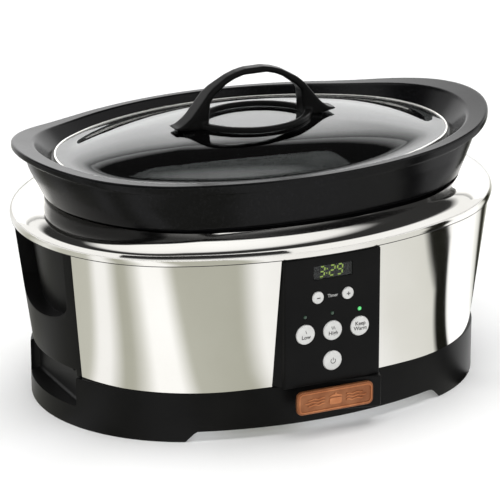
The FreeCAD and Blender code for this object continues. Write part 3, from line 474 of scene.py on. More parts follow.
def black_glaze():
    """Glazed stoneware: a deep black with the soft ripple and pinholes of a fired glaze."""
    f = Finish("black_glaze")
    ripple = f.noise(38.0, 3.0)
    speck = f.noise(520.0, 1.0)
    colour = f.ramp(speck, (0.45, (0.0020, 0.0020, 0.0022)), (0.8, (0.005, 0.005, 0.0055)))
    return f.surface(base_color=colour, roughness=0.15 + ripple * 0.10, specular_ior_level=0.15,
                     normal=f.bump(ripple * 0.8 + speck * 0.2, 0.14, 0.8))


def lid_glass():
    """Toughened smoke-grey glass with a faint film and roller wave."""
    f = Finish("lid_glass")
    film = f.noise(30.0, 4.0)
    tint = f.ramp(film, (0.3, (0.30, 0.32, 0.315)), (0.8, (0.36, 0.38, 0.375)))
    return f.surface(base_color=tint, roughness=0.010 + film * 0.02, transmission_weight=1.0, ior=1.6,
                     normal=f.bump(film, 0.02, 0.1))


def smoked_window():
    f = Finish("smoked_window")
    film = f.noise(200.0, 3.0)
    tint = f.ramp(film, (0.3, (0.018, 0.020, 0.020)), (0.8, (0.028, 0.031, 0.030)))
    return f.surface(base_color=tint, roughness=0.10 + film * 0.05, alpha=0.42)


def plated(name, tone, warmth, rough):
    """Zinc-plated or rolled metal: crystalline mottling and fine rolling lines."""
    f = Finish(name)
    spangle = f.node("ShaderNodeTexVoronoi", None, {"Vector": f.place, "Scale": 260.0}, output="Distance")
    lines = f.noise(900.0, 2.0, (0.03, 1.0, 1.0))
    colour = f.blend(spangle, grey(tone * 0.86, warmth), grey(tone, warmth))
    return f.surface(base_color=colour, metallic=1.0, roughness=rough + lines * 0.15,
                     normal=f.bump(lines, 0.2, 0.05))


def matt_rubber(name, tone):
    f = Finish(name)
    dust = f.noise(60.0, 5.0)
    pores = f.noise(1400.0, 2.0)
    colour = f.ramp(dust, (0.35, (tone,) * 3), (0.8, (tone * 1.9, tone * 1.85, tone * 1.75)))
    return f.surface(base_color=colour, roughness=0.62 + dust * 0.2, normal=f.bump(pores, 0.35, 0.12))


def woven_tape():
    """Glass-fibre heater tape: a plain weave about 1.6 mm across."""
    f = Finish("heater_tape")
    warp = f.node("ShaderNodeTexWave", {"bands_direction": "Z"}, {"Vector": f.place, "Scale": 190.0})
    weft = f.node("ShaderNodeTexWave", {"bands_direction": "DIAGONAL"}, {"Vector": f.place, "Scale": 190.0})
    weave = warp * weft
    colour = f.ramp(weave, (0.0, (0.42, 0.38, 0.30)), (0.7, (0.78, 0.75, 0.66)))
    return f.surface(base_color=colour, roughness=0.75, normal=f.bump(weave, 0.6, 0.3))


def circuit_board():
    """Green solder mask with tracks that show through it."""
    f = Finish("circuit_board")
    tracks = f.node("ShaderNodeTexBrick", None, {"Vector": f.place, "Scale": 220.0, "Mortar Size": 0.06},
                    output="Fac")
    colour = f.blend(tracks, (0.012, 0.11, 0.035, 1.0), (0.03, 0.20, 0.07, 1.0))
    return f.surface(base_color=colour, roughness=0.32, normal=f.bump(tracks, 0.4, 0.05))


def tinted_lens(name, colour, glow):
    """A small clear-tinted lamp lens, lit or unlit."""
    f = Finish(name)
    depth = f.noise(900.0, 2.0)
    dark = tuple(c * 0.7 for c in colour)
    tint = f.ramp(depth, (0.3, dark), (0.8, colour))
    return f.surface(base_color=tint, roughness=0.12 + depth * 0.1, coat_weight=0.6,
                     emission_color=(*colour, 1.0), emission_strength=glow)


def silver_button():
    """Silver-white painted caps with a fine metallic flake."""
    f = Finish("button_silver")
    flake = f.noise(3000.0, 1.0)
    wear = f.noise(140.0, 3.0)
    colour = f.ramp(flake * 0.6 + wear * 0.4, (0.3, (0.52, 0.52, 0.505)), (0.75, (0.68, 0.68, 0.665)))
    return f.surface(base_color=colour, metallic=0.15, roughness=0.33 + wear * 0.1,
                     normal=f.bump(flake, 0.15, 0.03))


def copper_badge(name, tone):
    """Brown copper, brushed along its length, with darker patches of patina. A tone under 1 darkens it all,
    as painted shade.
    """
    f = Finish(name)
    brushed = f.noise(2600.0, 2.0, (0.02, 1.0, 1.0))
    patina = f.noise(90.0, 5.0)
    colour = f.ramp(patina, (0.3, (0.36 * tone, 0.12 * tone, 0.042 * tone)),
                    (0.75, (0.56 * tone, 0.225 * tone, 0.095 * tone)))
    return f.surface(base_color=colour, metallic=0.6, roughness=0.36 + brushed * 0.14,
                     normal=f.bump(brushed, 0.25, 0.04))


def printed_ink(name, tone):
    f = Finish(name)
    edge = f.noise(2200.0, 2.0)
    colour = f.ramp(edge, (0.3, tuple(t * 0.8 for t in tone)), (0.8, tone))
    return f.surface(base_color=colour, roughness=0.45 + edge * 0.1, normal=f.bump(edge, 0.1, 0.01))


STEEL = polished_steel()
PLASTIC = satin_plastic("black_plastic", 0.0045, 0.30, 1500.0, 0.05)
HANDLE_PLASTIC = satin_plastic("handle_plastic", 0.003, 0.24, 1100.0, 0.03)
PANEL = satin_plastic("panel_black", 0.0035, 0.30, 2100.0, 0.03)
DARK = satin_plastic("display_black", 0.014, 0.55, 1700.0, 0.05)
GLAZE = black_glaze()
GLASS = lid_glass()
WINDOW = smoked_window()
ZINC = plated("zinc_plate", 0.62, -0.02, 0.28)
ALUMINIUM = plated("bare_aluminium", 0.72, 0.0, 0.22)
RUBBER = matt_rubber("rubber", 0.018)
SOFT = matt_rubber("soft_black", 0.010)
TAPE = woven_tape()
BOARD = circuit_board()
LAMP = tinted_lens("lamp_green", (0.012, 0.045, 0.022), 0.0)
LAMP_LIT = tinted_lens("lamp_green_lit", (0.09, 0.55, 0.16), 0.55)
SILVER = silver_button()
COPPER = copper_badge("copper_badge", 1.0)
# The badge's sunken ground: the same copper at 0.62 of its tone, painted shade in the recess round the raised
# relief.
COPPER_SHADED_GROUND = copper_badge("copper_ground_painted_shade", 0.62)
INK = printed_ink("dark_ink", (0.035, 0.033, 0.032))
PALE_INK = printed_ink("pale_ink", (0.36, 0.36, 0.35))
DIGITS = tinted_lens("digit_glow", (0.42, 0.60, 0.10), 1.6)


# ---------------------------------------------------------------- base

BLOCK_FACE = -low("base_housing", Y)
BLOCK_FLOOR = 16.5
RECESS_HALF, RECESS_FLOOR, RECESS_DEPTH, TUB_WALL = 47.0, 17.0, 16.0, 2.5
ARCH_HALF, ARCH_STEP, ARCH_HEIGHT = 103.0, 9.0, 9.1
SKIRT_WALL, SKIRT_TOP, SKIRT_LEDGE = 3.0, 3.0, 12.0
BADGE_MIDDLE = 30.6
PANEL_HALF, PANEL_FLARE, PANEL_DEPTH, FASCIA_DEPTH = 41.0, 5.8, 14.0, 2.5


def panel_half(depth):
    """Half the panel's width at a depth behind its face."""
    return PANEL_HALF + PANEL_FLARE / PANEL_DEPTH * depth


PANEL_WIDEST = panel_half(PANEL_DEPTH)


def arch_outline():
    """The gap under the base, seen from the front, with rounded upper corners."""
    soft, low_end = 4.0, -2.0
    right = [(ARCH_HALF + ARCH_STEP, low_end), (ARCH_HALF + ARCH_STEP, 0.0),
             (ARCH_HALF + soft * 0.7, ARCH_HEIGHT - 2.6), (ARCH_HALF, ARCH_HEIGHT - 0.7),
             (ARCH_HALF - soft, ARCH_HEIGHT)]
    return right + [(-x, z) for x, z in reversed(right)]


def recess_prism(name, edges, wall, corner, foot, top):
    """An upright block between two X edges, as wide as a finger recess and a wall more on each side."""
    outline = rounded_box_outline((edges[1] - edges[0]) / 2, RECESS_HALF + wall, corner,
                                  ((edges[0] + edges[1]) / 2, 0.0))
    return prism(name, outline, "Z", foot, top)


def base_body():
    """The moulded base: a hollow oval skirt with an arch front and back and a finger recess at each end."""
    ledge, inside, foot = shrunk(BASE, SKIRT_LEDGE), shrunk(BASE, SKIRT_WALL), shrunk(BASE, 1.2)
    outer = [((*foot, 0.0, 0.0), 0), ((*BASE, 0.0, 0.0), 0.9), ((*BASE, BASE_TOP, 0.0), 1.2),
             ((*ledge, BASE_TOP, 0.0), 0.6), ((*ledge, BASE_TOP - SKIRT_TOP, 0.0), 0.0),
             ((*inside, BASE_TOP - SKIRT_TOP, 0.0), 0.0), ((*inside, 0.0, 0.0), 0.0), ((*foot, 0.0, 0.0), 0)]
    body = oval_wall("base_body", softened(outer, 4))
    flare, face, back = -PANEL_FACE + PANEL_DEPTH, BLOCK_FACE, -100.0
    outline = [(-PANEL_HALF, -face), (PANEL_HALF, -face), (PANEL_WIDEST, flare), (PANEL_WIDEST, back),
               (-PANEL_WIDEST, back), (-PANEL_WIDEST, flare)]
    block = prism("front_block", outline, "Z", BLOCK_FLOOR, BASE_TOP + 1.0)
    bevelled(block, 1.1, 3, 20)
    half = PANEL_HALF - SKIRT_WALL
    room = prism("block_room", [(-half, -face + SKIRT_WALL), (half, -face + SKIRT_WALL), (half, back + 1.0),
                                (-half, back + 1.0)], "Z", BLOCK_FLOOR + SKIRT_WALL, BASE_TOP - SKIRT_WALL)
    combined(block, room, "DIFFERENCE")
    for side in (1, -1):
        end = side * BASE[0]
        inner = side * (BASE[0] - RECESS_DEPTH - TUB_WALL)
        edges = sorted([end - side * 1.5, inner])
        tub = recess_prism("tub", edges, TUB_WALL, 4.0, RECESS_FLOOR - TUB_WALL, BASE_TOP - 1.5)
        limit = oval_wall("limit", [(*shrunk(BASE, 0.4), z, 0.0) for z in (0.0, BASE_TOP)],
                          start="flat", stop="flat")
        combined(tub, limit, "INTERSECT")
        combined(body, tub, "UNION")
        edges = sorted([end + side * 10.0, side * (BASE[0] - RECESS_DEPTH)])
        hollow = recess_prism("hollow", edges, 0.0, 5.0, RECESS_FLOOR, BASE_TOP + 10.0)
        bevelled(hollow, 3.0, 4, 60)
        combined(body, hollow, "DIFFERENCE")
    combined(body, prism("arch", arch_outline(), "Y", -200.0, 200.0), "DIFFERENCE")
    combined(body, block, "UNION")
    seat = prism("seat", rounded_box_outline(33.3, 9.8, 4.8, (0.0, BADGE_MIDDLE)), "Y", -face - 5.0,
                 -face + 1.2)
    combined(body, seat, "DIFFERENCE")
    weld(body, 0.02)
    return finished(smooth(body, 32), PLASTIC, nodes=["base_housing"])


def feet():
    profile = [(6.4, 0.0), (7.6, 0.3), (8.0, 1.1), (8.0, 8.0), (7.4, 8.9), (6.0, 9.1)]
    pads = []
    for sx in (1, -1):
        for sy in (1, -1):
            centre = (sx * 138.0, sy * (BODY_DEPTH - 80.3), 0.0)
            pads.append(turned("pad", profile, centre, steps=48, start="flat", stop="flat"))
    return finished(smooth(merged("foot_pads", pads), 40), RUBBER, nodes=["rubber_feet"])


def gland():
    """The cord's strain relief, with grip ribs round its sleeve."""
    wall = BASE[1] + 0.3
    outer = high("cord_gland", Y)
    inner = low("cord_gland", Y)
    profile = [(3.6, inner), (7.0, inner), (7.0, wall), (9.4, wall), (10.0, wall + 0.6), (10.0, wall + 2.4),
               (9.4, wall + 3.0), (6.9, wall + 3.1)]
    ribs = 5
    for i in range(ribs):
        start = wall + 3.6 + i * (outer - wall - 4.4) / ribs
        radius = 6.9 - 0.24 * i
        profile += [(radius - 0.7, start), (radius - 0.7, start + 0.5), (radius, start + 0.7),
                    (radius, start + 1.4)]
    profile += [(5.3, outer - 0.3), (4.9, outer), (3.6, outer), (3.6, inner)]
    piece = turned("cord_sleeve", profile, (0.0, 0.0, 25.5), "Y", 56)
    return finished(smooth(piece, 40), SOFT, nodes=["cord_gland"])


# ---------------------------------------------------------------- steel skin

HANDLE_FOOT, HANDLE_TOP = 49.9, 58.9
WRAP_GAUGE = 0.8


def handle_half(z, extra=0.0):
    """Half the width of a side handle at a height."""
    return HANDLE_FOOT + extra + (HANDLE_TOP - HANDLE_FOOT) * (z - BASE_TOP) / (COLLAR_FOOT - BASE_TOP)


def wrap_oval(z, inwards=0.0):
    share = (z - WRAP_FOOT) / (WRAP_TOP - WRAP_FOOT)
    return shrunk(mixed(WRAP_LOW, WRAP_HIGH, share), inwards)


def opening_half(z):
    """Half the width of the gap that the front sheet leaves for the panel. It narrows upwards."""
    return PANEL_WIDEST - 1.0 - (z - BASE_TOP) * 0.035


def halved(still_short, start, stop, times):
    """Closes in on the value between start and stop where still_short turns false."""
    for _ in range(times):
        middle = (start + stop) / 2
        if still_short(middle):
            start = middle
        else:
            stop = middle
    return (start + stop) / 2


def angle_for(oval, axis, wanted, start, stop):
    """The normal angle between start and stop where the oval's x or y has that value."""
    rising = oval_at(oval, stop)[axis] > oval_at(oval, start)[axis]
    return halved(lambda angle: (oval_at(oval, angle)[axis] < wanted) == rising, start, stop, 40)


def wrap_part(name, front, side, panel_gap):
    """One run of sheet: from a side handle to the panel's opening, or right across where panel_gap is 0."""
    sign = -1 if front else 1

    def place(across, up):
        z = WRAP_FOOT + (WRAP_TOP - WRAP_FOOT) * up
        oval = wrap_oval(z)
        handle_angle = angle_for(oval, Y, sign * handle_half(z, FIT), 0.0, sign * math.pi / 2)
        edge_angle = sign * math.pi / 2
        if panel_gap:
            edge_angle = angle_for(oval, X, opening_half(z), sign * math.radians(40), sign * math.pi / 2)
        x, y = oval_at(oval, handle_angle + (edge_angle - handle_angle) * across)
        return Vector((side * x, y, z))
    return sheet(name, place, 90, 8)


def wrap_piece(name, front, node):
    parts = [wrap_part("run", front, side, front) for side in (1, -1)]
    if front:
        parts.append(sheet("bridge", bridge_place, 20, 1))
    skin = weld(merged(name, parts), 0.01)
    finish_with(skin, "SOLIDIFY", thickness=WRAP_GAUGE * MM, offset=-1.0)
    return finished(smooth(skin, 40), STEEL, nodes=[node])


def bridge_place(across, up):
    """The narrow strip that joins the front runs above the panel."""
    z = PANEL_TOP + FIT + (WRAP_TOP - PANEL_TOP - FIT) * up
    half = opening_half(z)
    oval = wrap_oval(z)
    left = angle_for(oval, X, -half, math.radians(-140), math.radians(-90))
    right = angle_for(oval, X, half, math.radians(-90), math.radians(-40))
    x, y = oval_at(oval, left + (right - left) * across)
    return Vector((x, y, z))


def collar():
    """The pressed steel collar: a soft bulge, a shoulder, and an inner lip that is rolled down."""
    top = LIP_TOP
    shoulder = (BODY[0] - 2.6, BODY[1] - 2.1, 13.7)
    slope = (BODY[0] - 12.0, BODY[1] - 8.0, 11.3)
    crest = (BODY[0] - 25.0, BODY[1] - 16.0, 7.8)
    lip = (BODY[0] - 30.4, BODY[1] - 19.6, 6.7)
    outside = curved([(*shrunk(BODY, 0.7), COLLAR_FOOT, 0.0), (*shrunk(BODY, 0.1), COLLAR_FOOT + 4.0, 0.0),
                      (*shoulder, top - 10.6, 0.0), (*slope, top - 5.2, 0.0), (*crest, top - 1.3, 0.0),
                      (*shrunk(lip, -1.2), top, 0.0)], 7)
    roll = [(*lip, top - 0.7, 0.0), (*lip, top - 3.0, 0.0), (*shrunk(lip, -0.9), top - 3.0, 0.0),
            (*shrunk(lip, -1.0), top - 1.2, 0.0)]
    inside = [(*shrunk(crest, 0.3), top - 2.3, 0.0), (*shrunk(slope, 0.6), top - 6.1, 0.0),
              (*shrunk(shoulder, 0.9), top - 11.0, 0.0), (*shrunk(BODY, 1.0), COLLAR_FOOT + 4.0, 0.0),
              (*shrunk(BODY, 1.6), COLLAR_FOOT, 0.0)]
    levels = outside + roll + inside + [outside[0]]
    piece = oval_wall("steel_collar", levels, *FINE)
    # A thin soft-black ring just under the collar's foot: painted shade, a dark sheet that stands for the
    # shadow gap between the collar and the wrap.
    shadow_line = [(*shrunk(BODY, inset), COLLAR_FOOT + rise, 0.0)
            for inset, rise in ((0.9, 0.0), (0.9, -0.7), (1.8, -0.7), (1.8, 0.0), (0.9, 0.0))]
    finished(oval_wall("collar_painted_shadow_line", shadow_line, *FINE), SOFT)
    return finished(smooth(piece, 50), STEEL, nodes=["collar"])


# ---------------------------------------------------------------- side handles

HANDLE_DEPTH, HANDLE_WALL = 16.0, 3.0
SCOOP_HALF = HANDLE_FOOT - 4.0
SHIELD_TOP, ENTRY_TOP = 80.0, 47.0


def end_block(name, side, outside, inside, half_at, foot, top):
    """A curved block at one end of the oval, between two depths behind the wrap."""
    columns, rows = 44, 16
    rings = []
    for row in range(rows + 1):
        z = foot + (top - foot) * row / rows
        ring = []
        for depth, order in ((outside, range(columns + 1)), (inside, range(columns, -1, -1))):
            oval = wrap_oval(z, depth)
            reach = angle_for(oval, Y, half_at(z), 0.0, math.pi / 2)
            for column in order:
                x, y = oval_at(oval, -reach + 2 * reach * column / columns)
                ring.append(Vector((side * x, side * y, z)))
        rings.append(ring)
    return lofted(name, rings, start="flat", stop="flat")


def scoop_outline():
    """The U-shaped opening over the handle."""
    points = []
    for i in range(-16, 17):
        share = i / 16
        points.append((SCOOP_HALF * share, SHIELD_TOP + 4.0 + 9.0 * share ** 2 + 6.0 * share ** 8))
    return points + [(HANDLE_TOP - 3.4, 190.0), (-HANDLE_TOP + 3.4, 190.0)]


def side_handle(name, side, node):
    """A curved insert: a scoop above, and a finger space behind the shield that opens at its foot."""
    piece = end_block(name, side, 0.0, HANDLE_DEPTH, handle_half, WRAP_FOOT, WRAP_TOP)
    behind, beyond, below = HANDLE_DEPTH - HANDLE_WALL, -HANDLE_WALL, WRAP_FOOT - 5.0
    scoop = end_block("scoop", side, beyond, behind, lambda z: SCOOP_HALF + 9.0, SHIELD_TOP - 10.0,
                      WRAP_TOP + 12.0)
    prism_cut = prism("scoop_shape", scoop_outline(), "X", *sorted([side * 120.0, side * 230.0]))
    bevelled(prism_cut, 0.1, 1, 60)
    combined(scoop, prism_cut, "INTERSECT")
    combined(piece, scoop, "DIFFERENCE")
    space = end_block("space", side, HANDLE_WALL, behind, lambda z: SCOOP_HALF, below, SHIELD_TOP)
    combined(piece, space, "DIFFERENCE")
    entry = end_block("entry", side, beyond, HANDLE_WALL + 1.0, lambda z: SCOOP_HALF, below, ENTRY_TOP)
    combined(piece, entry, "DIFFERENCE")
    weld(piece, 0.02)
    bevelled(piece, 0.9, 3, 38)
    return finished(smooth(piece, 32), PLASTIC, nodes=[node])


# ---------------------------------------------------------------- heating well

def heating_well():
    """The aluminium can that the crock stands in, with a flange at its top."""
    mouth, foot, middle, gauge = (166.2, 121.3, 6.7), (151.0, 107.0, 8.0), (60.0, 16.0, 8.0), 1.0
    flange = shrunk(mouth, -7.0)
    top, floor = high("heating_can", Z), low("heating_can", Z)
    corners = [((*middle, floor, 0.0), 0), ((*foot, floor, 0.0), 5.0), ((*mouth, top - gauge, 0.0), 2.0),
               ((*flange, top - gauge, 0.0), 0.2), ((*flange, top, 0.0), 0.2),
               ((*shrunk(mouth, gauge), top, 0.0), 2.0), ((*shrunk(foot, gauge), floor + gauge, 0.0), 5.0),
               ((*middle, floor + gauge, 0.0), 0)]
    piece = oval_wall("heating_well", softened(corners), 28, 34, start="flat", stop="flat")
    return finished(smooth(piece, 40), ALUMINIUM, nodes=["heating_can"])


# ---------------------------------------------------------------- control panel

ROWS = {"timer": 114.2, "lamp": 99.5, "mode": 85.4, "power": 60.5}
COLUMN, TIMER_COLUMN = 23.5, 12.9
BIG_BUTTON, SMALL_BUTTON = 8.0, 4.9
LAMP_RADIUS = 1.7
LAMPS = {"lamp_low": -COLUMN, "lamp_high": 0.0, "lamp_keep_warm": COLUMN}
BUTTONS = {"button_minus": (-TIMER_COLUMN, "timer", SMALL_BUTTON),
           "button_plus": (TIMER_COLUMN, "timer", SMALL_BUTTON),
           "button_low": (-COLUMN, "mode", BIG_BUTTON), "button_high": (0.0, "mode", BIG_BUTTON),
           "button_keep_warm": (COLUMN, "mode", BIG_BUTTON), "button_power": (0.0, "power", BIG_BUTTON)}
WINDOW_MIDDLE, WINDOW_HALF, WINDOW_RISE = 134.4, 16.5, 5.4


def panel_case():
    """The panel's housing: flared sides and a back in one bent wall, with a cap below and above."""
    hair, wall, room = 0.05, 2.0, 39.0
    face, back = -PANEL_FACE + FASCIA_DEPTH + hair, high("control_housing", Y)
    flare, wide, narrow = -PANEL_FACE + PANEL_DEPTH, PANEL_WIDEST, panel_half(FASCIA_DEPTH + hair)
    walls = [(-narrow, face), (-room, face), (-room, back - wall), (room, back - wall), (room, face),
             (narrow, face), (wide, flare), (wide, back), (-wide, back), (-wide, flare)]
    lap = room + 0.5
    cap = [(-lap, face + hair), (lap, face + hair), (lap, back - wall + 0.5), (-lap, back - wall + 0.5)]
    case = merged("panel_case", [prism("walls", walls, "Z", PANEL_FOOT, PANEL_TOP),
                                 prism("cap", cap, "Z", PANEL_FOOT + hair, PANEL_FOOT + wall),
                                 prism("cap", cap, "Z", PANEL_TOP - wall, PANEL_TOP - hair)])
    return finished(smooth(case, 32), PLASTIC, nodes=["control_housing"])


def fascia():
    """The flat front, with a hole for every button, every lamp and the window."""
    back_half = panel_half(FASCIA_DEPTH)
    outline = [(-PANEL_HALF, -PANEL_FACE), (PANEL_HALF, -PANEL_FACE), (back_half, -PANEL_FACE + FASCIA_DEPTH),
               (-back_half, -PANEL_FACE + FASCIA_DEPTH)]
    plate = prism("panel_fascia", outline, "Z", PANEL_FOOT, PANEL_TOP)
    bevelled(plate, 0.7, 3, 20)
    cuts = []
    for x, row, radius in BUTTONS.values():
        cuts.append(turned("hole", [(radius + FIT, -10.0), (radius + FIT, 2.0), (radius + FIT, 10.0)],
                           (x, -PANEL_FACE, ROWS[row]), "Y", 64, start="flat", stop="flat"))
    for x in LAMPS.values():
        cuts.append(turned("hole", [(LAMP_RADIUS + 0.15, -10.0), (LAMP_RADIUS + 0.15, 10.0)],
                           (x, -PANEL_FACE, ROWS["lamp"]), "Y", 32, start="flat", stop="flat"))
    window = rounded_box_outline(WINDOW_HALF + FIT, WINDOW_RISE + FIT, 1.1, (0.0, WINDOW_MIDDLE))
    cuts.append(prism("hole", window, "Y", -PANEL_FACE - 10.0, -PANEL_FACE + 10.0))
    combined(plate, merged("holes", cuts), "DIFFERENCE")
    return finished(smooth(plate, 32), PANEL, nodes=["control_fascia"])


def display_parts():
    """The smoked window, a little behind the panel's face, and the lit figures behind it."""
    face = -PANEL_FACE + 0.2
    outline = rounded_box_outline(WINDOW_HALF, WINDOW_RISE, 0.8, (0.0, WINDOW_MIDDLE))
    pane = prism("window_pane", outline, "Y", face, face + 2.0)
    bevelled(pane, 0.2, 2, 60)
    finished(smooth(pane, 35), WINDOW, nodes=["display_window"])
    clock_digits(face + 2.25)


SEGMENTS = {"3": "abcdg", "2": "abdeg", "9": "abcdfg"}


def clock_digits(depth):
    """Seven-segment figures with a slight lean, lit from behind."""
    width, height, thick, lean, film = 4.3, 8.0, 1.05, 0.10, 0.2
    middle = WINDOW_MIDDLE - 0.4
    bars = {"a": (0.0, height / 2, 0), "g": (0.0, 0.0, 0), "d": (0.0, -height / 2, 0),
            "f": (-width / 2, height / 4, 1), "b": (width / 2, height / 4, 1),
            "e": (-width / 2, -height / 4, 1), "c": (width / 2, -height / 4, 1)}
    pieces = []

    def bar(x, z, half_x, half_z, at):
        corners = [(-half_x, 0), (-half_x + thick / 2, -half_z), (half_x - thick / 2, -half_z), (half_x, 0),
                   (half_x - thick / 2, half_z), (-half_x + thick / 2, half_z)]
        if half_z > half_x:
            corners = [(0, half_z), (-half_x, half_z - thick / 2), (-half_x, -half_z + thick / 2),
                       (0, -half_z), (half_x, -half_z + thick / 2), (half_x, half_z - thick / 2)]
        outline = [(at + x + cx + lean * (z + cz), middle + z + cz) for cx, cz in corners]
        pieces.append(prism("bar", outline, "Y", depth, depth + film))
    for figure, at in (("3", -8.2), ("2", 0.6), ("9", 7.2)):
        for segment in SEGMENTS[figure]:
            x, z, upright = bars[segment]
            if upright:
                bar(x, z, thick / 2, height / 4 - 0.25, at)
            else:
                bar(x, z, width / 2 - 0.35, thick / 2, at)
    for z in (1.7, -1.7):
        dot = rounded_box_outline(0.5, 0.5, 0.3, (-3.9 + lean * z, middle + z), 3)
        pieces.append(prism("dot", dot, "Y", depth, depth + film))
    return finished(merged("clock_digits", pieces), DIGITS)


def lamp_lenses():
    for name, x in LAMPS.items():
        front, back = low(name, Y) + PANEL_FACE, high(name, Y) + PANEL_FACE
        profile = [(0.5, front), (1.1, front + 0.12), (1.5, front + 0.4),
                   (LAMP_RADIUS, front + 0.9), (LAMP_RADIUS, back)]
        lens = turned(name + "_lens", profile, (x, -PANEL_FACE, ROWS["lamp"]), "Y", 40, start="flat",
                      stop="flat")
        lit = name == "lamp_keep_warm"
        finished(smooth(lens, 50), LAMP_LIT if lit else LAMP, nodes=[name])


CAP_SKIRT = 0.7
PRINT_THICKNESS = 0.1


def cap_sag(radius, proud, distance):
    """How far a cap's domed face has fallen back at a distance from its middle."""
    return (proud - CAP_SKIRT) * 0.85 * min(distance / radius, 1.0) ** 2


def laid_on_cap(obj, x, z, radius, proud):
    """Presses a printed mark on to the domed face of its button."""
    for vertex in obj.data.vertices:
        distance = math.hypot(vertex.co.x / MM - x, vertex.co.z / MM - z)
        vertex.co.y += cap_sag(radius, proud, distance) * MM
    return obj


def label(name, words, size, x, z, front, material, body):
    """Printed lettering that faces the front, a little proud of what it is printed on."""
    deselect()
    bpy.ops.object.text_add()
    obj = bpy.context.object
    obj.data.body = words
    obj.data.align_x, obj.data.align_y = "CENTER", "CENTER"
    obj.data.size = size * MM
    obj.data.space_line = 0.95
    obj.data.extrude = 0.03 * MM
    obj.data.offset = 0.09 * MM
    obj.data.resolution_u = 3
    bpy.ops.object.convert(target="MESH")
    obj = bpy.context.object
    obj.name = obj.data.name = name
    obj.rotation_euler = (math.radians(90), 0, 0)
    obj.location = (x * MM, front * MM, z * MM)
    settle(obj)
    return finished(obj, material, body)


def bent_strip(points, width, depth, thick=PRINT_THICKNESS, name="strip"):
    """A flat printed line through (x, z) points."""
    left, right = [], []
    for i, (x, z) in enumerate(points):
        before, after = points[max(i - 1, 0)], points[min(i + 1, len(points) - 1)]
        dx, dz = after[0] - before[0], after[1] - before[1]
        length = math.hypot(dx, dz) or 1.0
        left.append((x - dz / length * width / 2, z + dx / length * width / 2))
        right.append((x + dz / length * width / 2, z - dx / length * width / 2))
    return prism(name, left + right[::-1], "Y", depth, depth + thick)


WAVE_RISE = 2.4


def heat_waves(name, count, x, z, front, body):
    """Rising heat drawn as one or more small waves."""
    strips = []
    for i in range(count):
        at = x + (i - (count - 1) / 2) * 1.15
        points = [(at + 0.35 * math.sin(t / 8 * 2 * math.pi), z + 2.8 * (t / 8 - 0.5)) for t in range(9)]
        strips.append(bent_strip(points, 0.5, front))
    wave = finished(merged(name, strips), INK, body)
    return laid_on_cap(wave, x, z - WAVE_RISE, BIG_BUTTON, 1.6)


def power_mark(x, z, front, body):
    """A ring open at the top, with an upright bar in the opening."""
    points, radius, line = [], 2.0, 0.6
    for i in range(25):
        a = math.radians(125 + 290 * i / 24)
        points.append((x + radius * math.cos(a), z + radius * math.sin(a)))
    ring = bent_strip(points, line, front)
    bar = bent_strip([(x, z + 0.4 + 2.3 * i / 5) for i in range(6)], line, front)
    return finished(merged("power_mark", [ring, bar]), INK, body)


def bar_mark(x, z, front, across, up, name="bar"):
    """A short straight bar, in steps small enough to follow the cap."""
    steps = [-1.7 + 3.4 * i / 8 for i in range(9)]
    return bent_strip([(x + across * t, z + up * t) for t in steps], 0.85, front, name=name)


def cap_mark(name, x, z, front):
    """What is printed on each cap."""
    if name == "button_minus":
        return finished(bar_mark(x, z, front, 1, 0, "minus_mark"), INK, name)
    if name == "button_plus":
        bars = [bar_mark(x, z, front, 1, 0), bar_mark(x, z, front + 0.01, 0, 1)]
        return finished(merged("plus_mark", bars), INK, name)
    if name == "button_power":
        return power_mark(x, z, front, name)
    if name == "button_keep_warm":
        return label("keep_warm_print", "Keep\nWarm", 4.3, x, z + 0.4, front, INK, name)
    words, waves = ("Low", 1) if name == "button_low" else ("High", 3)
    heat_waves(words.lower() + "_wave", waves, x, z + WAVE_RISE, front, name)
    return label(words.lower() + "_print", words, 4.4, x, z - 1.9, front, INK, name)


def buttons():
    """Domed caps with a skirt, a flange behind the panel and a printed mark."""
    dome_shares = (0.08, 0.25, 0.45, 0.65, 0.8, 0.9)
    for name, (x, row, radius) in BUTTONS.items():
        z = ROWS[row]
        front = low(name, Y)
        proud = -PANEL_FACE - front
        flange = radius + 1.2
        profile = [(radius * s, front + cap_sag(radius, proud, radius * s) + PANEL_FACE) for s in dome_shares]
        profile += [(radius * 0.965, front + (proud - CAP_SKIRT) * 0.95 + PANEL_FACE),
                    (radius * 0.995, -0.35), (radius, 0.1), (radius, 2.75), (flange, 2.8), (flange, 3.8),
                    (2.0, 3.8), (2.0, 4.2)]
        cap = turned(name + "_cap", profile, (x, -PANEL_FACE, z), "Y", 72, start="point", stop="flat")
        finished(smooth(cap, 40), SILVER, name, [name])
        mark = cap_mark(name, x, z, front - 0.03)
        laid_on_cap(mark, x, z, radius, proud)
    label("timer_print", "Timer", 3.6, 0.0, ROWS["timer"], -PANEL_FACE - 0.01, PALE_INK,
          "base")


